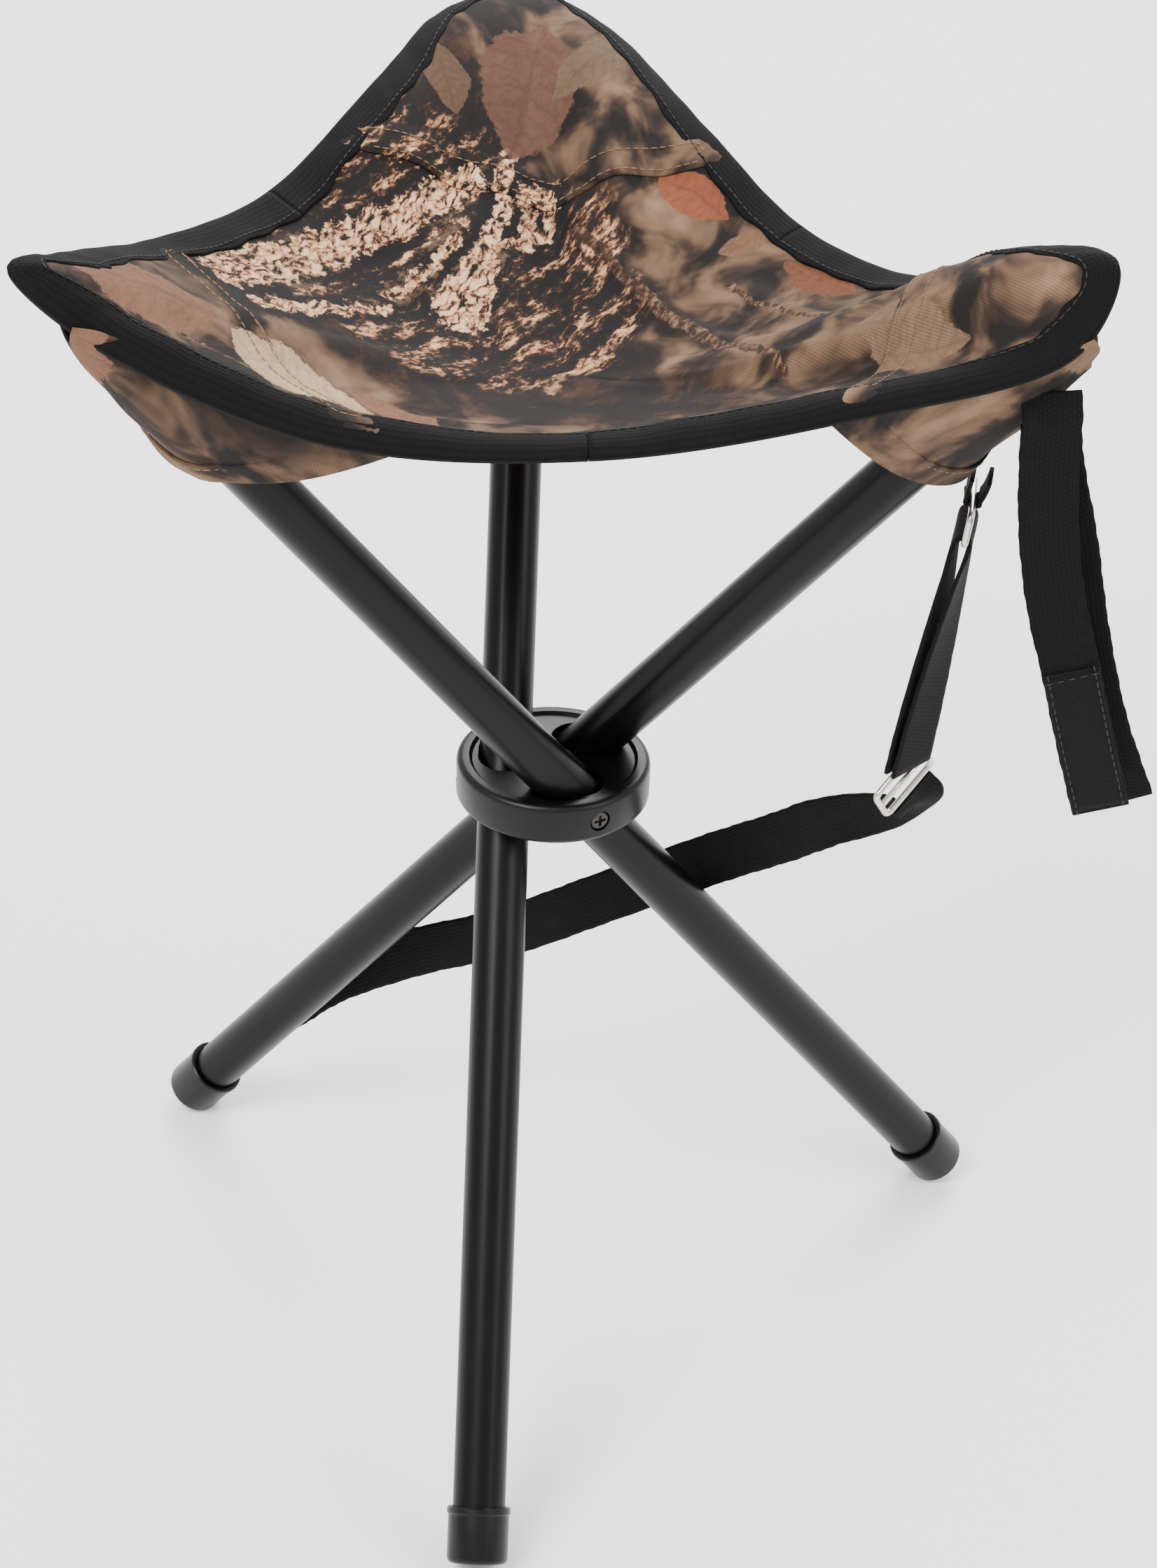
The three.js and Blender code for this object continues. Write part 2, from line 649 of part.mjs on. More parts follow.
function addCarryStrap() {
  const ringAcross = vector(0.1, 1, 0.1).normalize();
  const sliderAcross = vector(0.62, 0.5, 0.6).normalize();
  const anchor = byStrapLeg(217, 19, 8);
  const ring = byStrapLeg(199, 26, 12.4);
  const slider = byStrapLeg(94, 84, 18.4);
  const ringDown = slider.clone().sub(ring).normalize();
  const ringWidth = webbingWidth + 2 * (wireDiameter + 3 * fitGap);
  const ringBar = (side) => ring.clone().addScaledVector(ringDown, side * (ringHeight - wireDiameter) / 2);
  addNode(stool, "strap_ring", wireFrame(ringWidth, ringHeight, 2, ring, ringAcross, ringDown), "nickel");
  addNode(stool, "ring_tab", loopedBand(anchor, ringBar(-1), ringAcross, ringAcross,
    narrowWebbingWidth, webbingThickness, ringTabGap), "webbing");
  const frame = wireFrame(ringWidth + 1, sliderHeight, 3, slider, sliderAcross, ringDown);
  addNode(stool, "strap_slider", frame, "nickel");
  const clear = sliderHeight / 2 + fitGap;
  addNode(stool, "carry_strap_upper", loopedBand(slider.clone().addScaledVector(ringDown, -clear),
    ringBar(1), sliderAcross, ringAcross, webbingWidth, webbingThickness, strapFoldGap), "webbing");
  const sliderDown = ringDown.clone().projectOnPlane(sliderAcross).normalize();
  const [below, bend] = [clear + webbingThickness, clear + webbingWidth * 0.6]
    .map((far) => slider.clone().addScaledVector(sliderDown, far));
  addNode(stool, "carry_strap_lower", lowerStrapGeometry([below, bend], sliderAcross), "webbing");
  addNode(stool, "strap_rivet", placedOnLeg(rivetGeometry(), strapLeg), "nickel");
}

function lowerStrapGeometry(starts, startAcross) {
  const onTube = tubeRadius + fitGap + webbingThickness / 2;
  const end = strapEndAlong - strapTail;
  const off = tubeRadius / drawnTubeRadius; // how much further out the strap passes wider tubes
  const points = [
    ...starts, byStrapLeg(50, 79, 23 * off), byStrapLeg(25, 73, 26 * off),
    byStrapLeg(-10, 63.6, 29.4 * off), byStrapLeg(-62, 48.6, 25.4 * off),
    byStrapLeg(-110, 34, 20 * off), byStrapLeg(-150, 17, 14.5 * off),
    byLeg(strapLeg, strapEndAlong + 2 * strapTail, 4, onTube), byLeg(strapLeg, strapEndAlong, 1, onTube),
    byLeg(strapLeg, end, 0, onTube),
  ];
  const curve = new THREE.CatmullRomCurve3(points, false, "centripetal");
  const twist = 0.25; // share of the strap over which it turns flat to the leg
  const widthAt = (u) => {
    const flat = curve.getTangent(Math.min(u, 1 - least)).cross(radialOf(strapLeg)).normalize();
    return startAcross.clone().lerp(flat, THREE.MathUtils.smoothstep(u, 0, twist)).normalize();
  };
  const strap = band(points, widthAt, webbingWidth, webbingThickness, 60);
  const hole = rodAlongX(rivetShankDiameter / 2 + fitGap, 0, 2 * tubeDiameter, 12);
  return cut(strap, [placedOnLeg(hole.translate(0, 0, strapEndAlong), strapLeg)]);
}

// The rivet lies along the leg's radial direction, its head over the webbing.
function rivetGeometry() {
  const underHead = tubeRadius + webbingThickness + 2.5 * fitGap;
  const shank = rivetShankDiameter / 2;
  const head = rivetHeadDiameter / 2;
  return turned([
    [0, boreRadius - 3],
    [shank, boreRadius - 3],
    [shank, underHead],
    [head, underHead],
    [head * 0.9, underHead + rivetHeadHeight * 0.55],
    [head * 0.5, underHead + rivetHeadHeight * 0.92],
    [0, underHead + rivetHeadHeight],
  ], 16).rotateY(Math.PI / 2).translate(0, 0, strapEndAlong);
}

// The two closure tails hang from the pocket of the strap's corner, each with a grip patch.
function addClosure() {
  const tip = byLeg(strapLeg, legAbove, 0, 0);
  const across = vector(0.95, 0, 0.31).normalize();
  const fromTip = (x, y, z) => tip.clone().add(vector(x, y, z));
  const front = [
    fromTip(4, -14, -18.5), fromTip(4, -15, -30), fromTip(6, -16.5, -59), fromTip(11, -17, -87),
    fromTip(18, -17, -112), fromTip(26, -16, -142), fromTip(34, -14, -170),
  ];
  const rear = [
    fromTip(4, -10, -22), fromTip(7, -8, -40), fromTip(14, -7, -68), fromTip(21, -6, -102),
    fromTip(31, -4, -140), fromTip(44, 0, -175),
  ];
  addTail("front", front, across, -1);
  addTail("rear", rear, across, 1);
}

// A tail along the points, its grip patch on the side that `side` gives along Y.
function addTail(name, points, across, side) {
  const widthAt = () => across.clone();
  const tail = band(points, widthAt, webbingWidth, webbingThickness, 20);
  addNode(stool, `closure_tail_${name}`, tail, "webbing");
  const curve = new THREE.CatmullRomCurve3(points, false, "centripetal");
  const share = gripPatchLength / curve.getLength();
  const lift = vector(0, side * ((webbingThickness + gripPatchThickness) / 2 + fitGap), 0);
  const hem = 0.01; // of the tail's length, left bare past the patch
  const route = [1, 0.75, 0.5, 0.25, 0].map((t) => curve.getPointAt(1 - hem - share * t).add(lift));
  const patch = band(route, widthAt, webbingWidth - 2 * gripInset, gripPatchThickness, 8);
  addNode(stool, `grip_patch_${name}`, patch, "grip");
}

addHub();
Object.keys(legAzimuths).forEach(addLeg);
addSeat();
addCarryStrap();
addClosure();

// The stool stands on z = 0 with the middle of its plan on the Z axis.
const bounds = new THREE.Box3().setFromObject(stool, true);
const middle = bounds.getCenter(new THREE.Vector3());
stool.position.set(-middle.x, -middle.y, -bounds.min.z);

export default stool;
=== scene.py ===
"""Looks of a folding three leg stool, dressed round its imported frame. Metres, +Z up."""

import json
import logging
import math
from dataclasses import dataclass
from enum import Enum
from typing import Sequence

import bmesh
import bpy
import numpy as np
from mathutils import Matrix, Vector


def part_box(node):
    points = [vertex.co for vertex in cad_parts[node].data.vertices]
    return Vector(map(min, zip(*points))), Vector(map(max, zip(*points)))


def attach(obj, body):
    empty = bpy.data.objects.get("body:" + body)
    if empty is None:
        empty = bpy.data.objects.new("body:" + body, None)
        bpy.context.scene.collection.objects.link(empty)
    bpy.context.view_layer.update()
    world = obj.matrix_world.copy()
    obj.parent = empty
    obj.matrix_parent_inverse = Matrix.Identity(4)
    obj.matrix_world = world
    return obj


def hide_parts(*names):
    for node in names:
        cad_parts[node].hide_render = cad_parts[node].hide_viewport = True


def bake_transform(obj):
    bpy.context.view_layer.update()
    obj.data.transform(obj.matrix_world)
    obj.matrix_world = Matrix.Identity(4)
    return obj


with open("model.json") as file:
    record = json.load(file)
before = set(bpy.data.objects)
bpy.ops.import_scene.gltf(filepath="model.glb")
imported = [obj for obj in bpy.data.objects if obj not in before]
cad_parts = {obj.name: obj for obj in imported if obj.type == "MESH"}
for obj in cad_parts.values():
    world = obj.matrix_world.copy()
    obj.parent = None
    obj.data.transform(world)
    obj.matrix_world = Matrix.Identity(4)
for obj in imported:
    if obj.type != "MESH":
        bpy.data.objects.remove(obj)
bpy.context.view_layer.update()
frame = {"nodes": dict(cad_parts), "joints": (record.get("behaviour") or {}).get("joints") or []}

MM = 0.001
FLAT = "flat"  # point attribute: where a point lies on the flat cloth or tape, in metres

Colour = tuple[float, float, float]
log = logging.getLogger("stool")


# ---------------------------------------------------------------- vectors and curves
def unit(vector: np.ndarray) -> np.ndarray:
    """The vector, or each row of vectors, at length 1."""
    return vector / np.maximum(np.linalg.norm(vector, axis=-1, keepdims=True), 1e-12)


def smooth(value: np.ndarray, low: float = 0.0, high: float = 1.0) -> np.ndarray:
    """A smooth step from 0 at low to 1 at high."""
    t = np.clip((np.asarray(value, float) - low) / (high - low), 0, 1)
    return t * t * (3 - 2 * t)


def spline(p0: np.ndarray, p1: np.ndarray, p2: np.ndarray, p3: np.ndarray,
           t: np.ndarray) -> np.ndarray:
    """Centripetal Catmull-Rom points between p1 and p2.

    Args:
        p0, p1, p2, p3: Rows of four neighbouring points.
        t: The share of the way from p1 to p2, as a column.

    Returns:
        One point for each row.
    """
    d0, d1, d2 = (np.sqrt(np.linalg.norm(b - a, axis=-1, keepdims=True))
                  for a, b in ((p0, p1), (p1, p2), (p2, p3)))
    m1 = ((p1 - p0) / d0 - (p2 - p0) / (d0 + d1) + (p2 - p1) / d1) * d1
    m2 = ((p2 - p1) / d1 - (p3 - p1) / (d1 + d2) + (p3 - p2) / d2) * d1
    return p1 + m1 * t + (-3 * p1 + 3 * p2 - 2 * m1 - m2) * t**2 + (2 * p1 - 2 * p2 + m1 + m2) * t**3


def closed_curve(points: np.ndarray, place: np.ndarray) -> np.ndarray:
    """Points of a closed curve; place counts along its points and wraps round."""
    place = np.asarray(place, float) % len(points)
    first = np.floor(place).astype(int)
    near = [points[(first + k) % len(points)] for k in (-1, 0, 1, 2)]
    return spline(*near, (place - first)[..., None])


def open_curve(points: np.ndarray, share: np.ndarray) -> np.ndarray:
    """Points of an open curve at shares 0 to 1 of its point list."""
    ends = np.vstack([2 * points[0] - points[1], points, 2 * points[-1] - points[-2]])
    place = np.asarray(share, float) * (len(points) - 1)
    first = np.minimum(np.floor(place).astype(int), len(points) - 2)
    near = [ends[first + k] for k in range(4)]
    return spline(*near, (place - first)[..., None])


def lengths_along(points: np.ndarray) -> np.ndarray:
    """Distance from the first point of a line to each of its points."""
    steps = np.linalg.norm(np.diff(points, axis=0), axis=1)
    return np.concatenate([[0.0], np.cumsum(steps)])


# ---------------------------------------------------------------- meshes
def mesh_object(name: str, points: np.ndarray, faces: Sequence[Sequence[int]], material: bpy.types.Material,
                flat: np.ndarray | None = None) -> bpy.types.Object:
    """Makes a smooth-shaded mesh object at the origin.

    Args:
        name: The piece's name.
        points: Its points, in metres.
        faces: Its faces, as point numbers.
        material: Its finish.
        flat: For each point, where it lies on the flat cloth or tape.

    Returns:
        The new object, linked to the scene.
    """
    mesh = bpy.data.meshes.new(name)
    mesh.from_pydata(np.asarray(points).tolist(), [], [list(face) for face in faces])
    if flat is not None:
        places = mesh.attributes.new(FLAT, "FLOAT_VECTOR", "POINT")
        places.data.foreach_set("vector", np.asarray(flat).ravel())
    mesh.polygons.foreach_set("use_smooth", [True] * len(mesh.polygons))
    mesh.materials.append(material)
    piece = bpy.data.objects.new(name, mesh)
    bpy.context.scene.collection.objects.link(piece)
    return piece


def grid_faces(rows: int, columns: int, wrap_rows: bool = False,
               wrap_columns: bool = False) -> list[tuple[int, ...]]:
    """Quads over a grid of points that is stored row by row."""
    faces = []
    for i in range(rows if wrap_rows else rows - 1):
        for j in range(columns if wrap_columns else columns - 1):
            a, b = i * columns, (i + 1) % rows * columns
            k = (j + 1) % columns
            faces.append((a + j, b + j, b + k, a + k))
    return faces


def point_outwards(piece: bpy.types.Object) -> None:
    """Turns the faces of a closed mesh outwards."""
    mesh = bmesh.new()
    mesh.from_mesh(piece.data)
    bmesh.ops.recalc_face_normals(mesh, faces=mesh.faces)
    mesh.to_mesh(piece.data)
    mesh.free()


def sweep(name: str, rings: np.ndarray, material: bpy.types.Material, flat: np.ndarray | None = None,
          closed: bool = False) -> bpy.types.Object:
    """A closed solid through rings of points.

    Args:
        name: The piece's name.
        rings: Points as rings, ring by ring.
        material: Its finish.
        flat: As for mesh_object, ring by ring.
        closed: Whether the last ring joins the first; if not, both ends are capped.

    Returns:
        The new object.
    """
    count, around = rings.shape[:2]
    faces = grid_faces(count, around, wrap_rows=closed, wrap_columns=True)
    if not closed:
        faces += [tuple(range(around)), tuple(range((count - 1) * around, count * around))]
    flat = None if flat is None else flat.reshape(-1, 3)
    piece = mesh_object(name, rings.reshape(-1, 3), faces, material, flat)
    point_outwards(piece)
    return piece


def settle_modifiers(piece: bpy.types.Object) -> None:
    """Makes the piece's evaluated shape its own plain mesh and removes its modifiers."""
    graph = bpy.context.evaluated_depsgraph_get()
    graph.update()
    mesh = bpy.data.meshes.new_from_object(piece.evaluated_get(graph), preserve_all_data_layers=True,
                                           depsgraph=graph)
    piece.modifiers.clear()
    piece.data = mesh


def thicken(piece: bpy.types.Object, thickness: float, offset: float = 0.0) -> None:
    """Gives a sheet its thickness; offset is -1 behind its faces, 0 on both sides."""
    shell = piece.modifiers.new("thickness", "SOLIDIFY")
    shell.thickness = thickness
    shell.offset = offset


def join(name: str, pieces: Sequence[bpy.types.Object]) -> bpy.types.Object:
    """Joins pieces into the first, which takes the name."""
    with bpy.context.temp_override(active_object=pieces[0], object=pieces[0], selected_objects=list(pieces),
                                   selected_editable_objects=list(pieces)):
        bpy.ops.object.join()
    pieces[0].name = name
    return pieces[0]


# ---------------------------------------------------------------- shader nodes
class Value:
    """A shader socket that can stand in a sum as a number does."""

    def __init__(self, tree: "NodeTree", socket: bpy.types.NodeSocket) -> None:
        """Keeps the tree and the socket."""
        self.tree, self.socket = tree, socket

    def _math(self, operation: str, *values: "Value | float") -> "Value":
        """One Math node on the values."""
        node = self.tree.add("ShaderNodeMath", {"operation": operation}, dict(enumerate(values)))
        return Value(self.tree, node.outputs[0])

    def __add__(self, other: "Value | float") -> "Value":
        """self + other."""
        return self._math("ADD", self, other)

    def __sub__(self, other: "Value | float") -> "Value":
        """self - other."""
        return self._math("SUBTRACT", self, other)

    def __rsub__(self, other: float) -> "Value":
        """other - self."""
        return self._math("SUBTRACT", other, self)

    def __mul__(self, other: "Value | float") -> "Value":
        """self * other."""
        return self._math("MULTIPLY", self, other)

    def __truediv__(self, other: "Value | float") -> "Value":
        """self / other."""
        return self._math("DIVIDE", self, other)

    def __abs__(self) -> "Value":
        """The size of self."""
        return self._math("ABSOLUTE", self)

    def __pow__(self, power: float) -> "Value":
        """self to a power."""
        return self._math("POWER", self, power)

    __radd__, __rmul__ = __add__, __mul__

    def floor(self) -> "Value":
        """The whole number below self."""
        return self._math("FLOOR", self)

    def wave(self, pitch: float) -> "Value":
        """A wave of self from 0 to 1 that repeats every pitch."""
        return self._math("COSINE", self * (2 * math.pi / pitch)) * 0.5 + 0.5

    def least(self, other: "Value | float") -> "Value":
        """The smaller of self and other."""
        return self._math("MINIMUM", self, other)

    def most(self, other: "Value | float") -> "Value":
        """The larger of self and other."""
        return self._math("MAXIMUM", self, other)

    def root(self) -> "Value":
        """The square root of self."""
        return self._math("SQRT", self)

    def ramp(self, low: float, high: float) -> "Value":
        """A smooth step from 0 where self is low to 1 where it is high, or the other way round."""
        settings = {"interpolation_type": "SMOOTHSTEP"}
        if low < high:
            inputs = {"Value": self, "From Min": low, "From Max": high}
            return Value(self.tree, self.tree.add("ShaderNodeMapRange", settings, inputs).outputs[0])
        return 1 - self.ramp(high, low)


class NodeTree:
    """The nodes of one material, built round a Principled shader."""

    def __init__(self, name: str) -> None:
        """Starts a material with only its shader and output."""
        self.material = bpy.data.materials.new(name)
        self.material.use_nodes = True
        self.nodes, self.links = self.material.node_tree.nodes, self.material.node_tree.links
        self.nodes.clear()
        self.shader = self.add("ShaderNodeBsdfPrincipled")
        self.add("ShaderNodeOutputMaterial", inputs={"Surface": self.shader.outputs[0]})

    def add(self, kind: str, settings: dict | None = None, inputs: dict | None = None) -> bpy.types.Node:
        """Adds a node.

        Args:
            kind: The node's type.
            settings: Its own properties, set first; stops gives a colour ramp's.
            inputs: A value, Value or socket for each input, by name or number.

        Returns:
            The node.
        """
        node = self.nodes.new(kind)
        for name, setting in (settings or {}).items():
            if name == "stops":
                self._set_stops(node.color_ramp, setting)
            else:
                setattr(node, name, setting)
        for name, value in (inputs or {}).items():
            self.feed(node.inputs[name], value)
        return node

    @staticmethod
    def _set_stops(ramp: bpy.types.ColorRamp, stops: Sequence[tuple[float, Colour]]) -> None:
        """Gives a colour ramp its stops."""
        while len(ramp.elements) < len(stops):
            ramp.elements.new(1.0)
        for element, (position, colour) in zip(ramp.elements, stops):
            element.position, element.color = position, (*colour, 1.0)

    def feed(self, socket: bpy.types.NodeSocket, value: object) -> None:
        """Links a value or socket to an input, or sets a plain number or colour on it."""
        if isinstance(value, Value):
            self.links.new(value.socket, socket)
        elif isinstance(value, bpy.types.NodeSocket):
            self.links.new(value, socket)
        elif socket.type == "RGBA" and len(value) == 3:
            socket.default_value = (*value, 1.0)
        else:
            socket.default_value = value

    def set(self, **inputs: object) -> None:
        """Feeds the shader's inputs; an underscore stands for a space."""
        for name, value in inputs.items():
            self.feed(self.shader.inputs[name.replace("_", " ").replace("ior", "IOR")], value)

    def split(self, vector: bpy.types.NodeSocket) -> tuple[Value, Value, Value]:
        """The three parts of a vector."""
        node = self.add("ShaderNodeSeparateXYZ", inputs={0: vector})
        return tuple(Value(self, output) for output in node.outputs)

    def place(self) -> bpy.types.NodeSocket:
        """Object coordinates, in metres."""
        return self.add("ShaderNodeTexCoord").outputs["Object"]

    def flat_place(self) -> bpy.types.NodeSocket:
        """Where the point lies on its flat cloth or tape, in metres."""
        return self.add("ShaderNodeAttribute", {"attribute_name": FLAT}).outputs["Vector"]

    def moved(self, vector: bpy.types.NodeSocket, location: Sequence[float] = (0, 0, 0), turn: float = 0.0,
              scale: Sequence[float] = (1, 1, 1)) -> bpy.types.NodeSocket:
        """The vector through a Mapping node, turned about Z by degrees."""
        inputs = {"Vector": vector, "Location": location, "Rotation": (0, 0, math.radians(turn)),
                  "Scale": scale}
        return self.add("ShaderNodeMapping", inputs=inputs).outputs[0]

    def noise(self, vector: bpy.types.NodeSocket, size: float, detail: float = 3.0, rough: float = 0.55,
              warp: float = 0.0) -> Value:
        """Noise from 0 to 1 whose patches are about size metres across."""
        inputs = {"Vector": vector, "Scale": 1 / size, "Detail": detail, "Roughness": rough,
                  "Distortion": warp}
        return Value(self, self.add("ShaderNodeTexNoise", inputs=inputs).outputs["Fac"])

    def mix(self, share: Value | float, low: object, high: object,
            blend: str = "MIX") -> bpy.types.NodeSocket:
        """A colour between low and high."""
        settings = {"data_type": "RGBA", "blend_type": blend}
        return self.add("ShaderNodeMix", settings, {0: share, 6: low, 7: high}).outputs[2]

    def ramp(self, share: Value, stops: Sequence[tuple[float, Colour]]) -> bpy.types.NodeSocket:
        """A colour ramp."""
        return self.add("ShaderNodeValToRGB", {"stops": stops}, {0: share}).outputs[0]

    def bump(self, height: Value, depth: float,
             under: bpy.types.NodeSocket | None = None) -> bpy.types.NodeSocket:
        """A bump normal for a height from 0 to 1 that stands for depth metres."""
        inputs = {"Height": height, "Distance": depth}
        if under is not None:
            inputs["Normal"] = under
        return self.add("ShaderNodeBump", inputs=inputs).outputs[0]

    def veined(self, vector: bpy.types.NodeSocket, size: float) -> Value:
        """Distance to the nearest crack of a cell pattern of about size metres."""
        settings = {"feature": "DISTANCE_TO_EDGE"}
        inputs = {"Vector": vector, "Scale": 1 / size, "Randomness": 1.0}
        return Value(self, self.add("ShaderNodeTexVoronoi", settings, inputs).outputs["Distance"])

    def warped(self, vector: bpy.types.NodeSocket, size: float, amount: float) -> bpy.types.NodeSocket:
        """The vector pushed about by noise, by up to about half the amount."""
        push = self.add("ShaderNodeTexNoise", inputs={"Vector": vector, "Scale": 1 / size, "Detail": 2.0})
        centred = self.add("ShaderNodeVectorMath", {"operation": "SUBTRACT"},
                           {0: push.outputs["Color"], 1: (0.5,) * 3})
        scaled = {0: centred.outputs[0], 1: (amount,) * 3, 2: vector}
        return self.add("ShaderNodeVectorMath", {"operation": "MULTIPLY_ADD"}, scaled).outputs[0]


# ---------------------------------------------------------------- finishes
@dataclass(frozen=True)
class PowderCoat:
    """Satin black powder coat, with its orange peel and a few dry scuffs."""

    name: str = "leg_powder_coat"
    colour: Colour = (0.0018, 0.0014, 0.0016)
    roughness: float = 0.33
    peel: float = 1.1 * MM

    def make(self) -> bpy.types.Material:
        """Builds the material."""
        tree = NodeTree(self.name)
        place = tree.place()
        dust = tree.noise(place, 60 * MM, 5, 0.65)
        peel = tree.noise(place, self.peel, 2)
        scuff = tree.noise(tree.moved(place, scale=(1, 1, 0.12)), 4 * MM, 4, 0.7).ramp(0.66, 0.74)
        pale = tuple(c * 2.2 for c in self.colour)
        tree.set(Base_Color=tree.mix(dust.ramp(0.4, 0.75) * 0.4 + scuff * 0.25, self.colour, pale),
                 Roughness=dust * 0.16 + scuff * 0.12 + self.roughness - 0.08,
                 Normal=tree.bump(peel, 0.02 * MM))
        tree.set(Specular_IOR_Level=0.12, Coat_Weight=0.03, Coat_Roughness=0.2)
        return tree.material


@dataclass(frozen=True)
class MouldedPlastic:
    """Black moulded plastic with a fine mould grain and handling marks."""

    name: str
    colour: Colour
    roughness: float
    grain: float = 0.5 * MM
    grain_depth: float = 0.012 * MM

    def make(self) -> bpy.types.Material:
        """Builds the material."""
        tree = NodeTree(self.name)
        place = tree.place()
        marks = tree.noise(place, 14 * MM, 5, 0.7)
        grain = tree.noise(place, self.grain, 2)
        scratch = tree.noise(tree.moved(place, turn=24, scale=(0.1, 1, 1)), 1.2 * MM, 3).ramp(0.68, 0.76)
        pale = tuple(c * 2.4 for c in self.colour)
        tree.set(Base_Color=tree.mix(marks.ramp(0.45, 0.8) * 0.45, self.colour, pale),
                 Roughness=marks * 0.22 + scratch * 0.1 + self.roughness - 0.1,
                 Normal=tree.bump(grain, self.grain_depth))
        tree.set(Specular_IOR_Level=0.20)
        return tree.material


@dataclass(frozen=True)
class Webbing:
    """Black woven tape: rows of knuckles along it, each row half a knuckle past its neighbour."""

    name: str
    pitch: float
    row: float
    depth: float = 0.16 * MM
    colour: Colour = (0.0016, 0.0015, 0.0015)
    roughness: float = 0.72

    def make(self) -> bpy.types.Material:
        """Builds the material."""
        tree = NodeTree(self.name)
        along, across, _ = tree.split(tree.flat_place())
        row = (across / self.row).floor()
        ridge = 1 - (across / self.row - row).wave(1.0)
        knuckle = (along + row * (self.pitch / 2)).wave(self.pitch) * ridge
        fuzz = tree.noise(tree.place(), 0.35 * MM, 2)
        lint = tree.noise(tree.place(), 9 * MM, 4, 0.7)
        pale = tuple(c * 4.2 for c in self.colour)
        shade = (knuckle * 0.5 + fuzz * 0.3 + lint.ramp(0.45, 0.8) * 0.35 - 0.12).most(0.0)
        tree.set(Base_Color=tree.mix(shade, self.colour, pale), Roughness=self.roughness + fuzz * 0.15,
                 Normal=tree.bump(knuckle * 0.8 + fuzz * 0.2, self.depth))
        tree.set(Specular_IOR_Level=0.11)
        return tree.material


@dataclass(frozen=True)
class Pile:
    """Matt black looped pile of a touch fastener."""

    name: str = "grip_pile"
    colour: Colour = (0.0014, 0.0014, 0.0014)

    def make(self) -> bpy.types.Material:
        """Builds the material."""
        tree = NodeTree(self.name)
        loops = tree.noise(tree.place(), 0.9 * MM, 4, 0.75)
        tree.set(Base_Color=tree.mix(loops.ramp(0.4, 0.8), self.colour, tuple(c * 3 for c in self.colour)),
                 Roughness=0.9 + loops * 0.1, Normal=tree.bump(loops, 0.5 * MM))
        tree.set(Specular_IOR_Level=0.12, Sheen_Weight=0.03, Sheen_Roughness=0.6)
        return tree.material


@dataclass(frozen=True)
class PlatedWire:
    """Bright nickel plate over drawn wire, a little tarnished."""

    name: str = "nickel_plate"
    colour: Colour = (0.62, 0.59, 0.55)

    def make(self) -> bpy.types.Material:
        """Builds the material."""
        tree = NodeTree(self.name)
        stain = tree.noise(tree.place(), 3 * MM, 5, 0.7)
        tree.set(Base_Color=tree.mix(stain.ramp(0.45, 0.75) * 0.6, self.colour, (0.34, 0.29, 0.24)),
                 Roughness=0.16 + stain * 0.22, Metallic=1.0,
                 Normal=tree.bump(tree.noise(tree.place(), 0.8 * MM, 2), 0.01 * MM))
        return tree.material


@dataclass(frozen=True)
class BlackSteel:
    """Blackened screw steel."""

    name: str = "black_screw_steel"

    def make(self) -> bpy.types.Material:
        """Builds the material."""
        tree = NodeTree(self.name)
        stain = tree.noise(tree.place(), 1.5 * MM, 4, 0.7)
        tree.set(Base_Color=tree.mix(stain, (0.02, 0.019, 0.018), (0.07, 0.065, 0.06)), Metallic=0.85,
                 Roughness=0.28 + stain * 0.2)
        return tree.material


@dataclass(frozen=True)
class Thread:
    """Twisted sewing thread."""

    name: str
    colour: Colour

    def make(self) -> bpy.types.Material:
        """Builds the material."""
        tree = NodeTree(self.name)
        twist = tree.noise(tree.place(), 0.25 * MM, 2)
        dark = tuple(c * 0.45 for c in self.colour)
        tree.set(Base_Color=tree.mix(twist.ramp(0.3, 0.7), dark, self.colour), Roughness=0.7,
                 Normal=tree.bump(twist, 0.08 * MM))
        return tree.material


@dataclass(frozen=True)
class Limb:
    """A bright limb of the print, between two points of the flat cloth, in millimetres."""

    start: tuple[float, float]
    end: tuple[float, float]
    width: tuple[float, float]


@dataclass(frozen=True)
class Leaf:
    """A leaf of the print: its middle in millimetres, its turn in degrees, its size and colour."""

    middle: tuple[float, float]
    turn: float
    size: tuple[float, float]
    colour: Colour


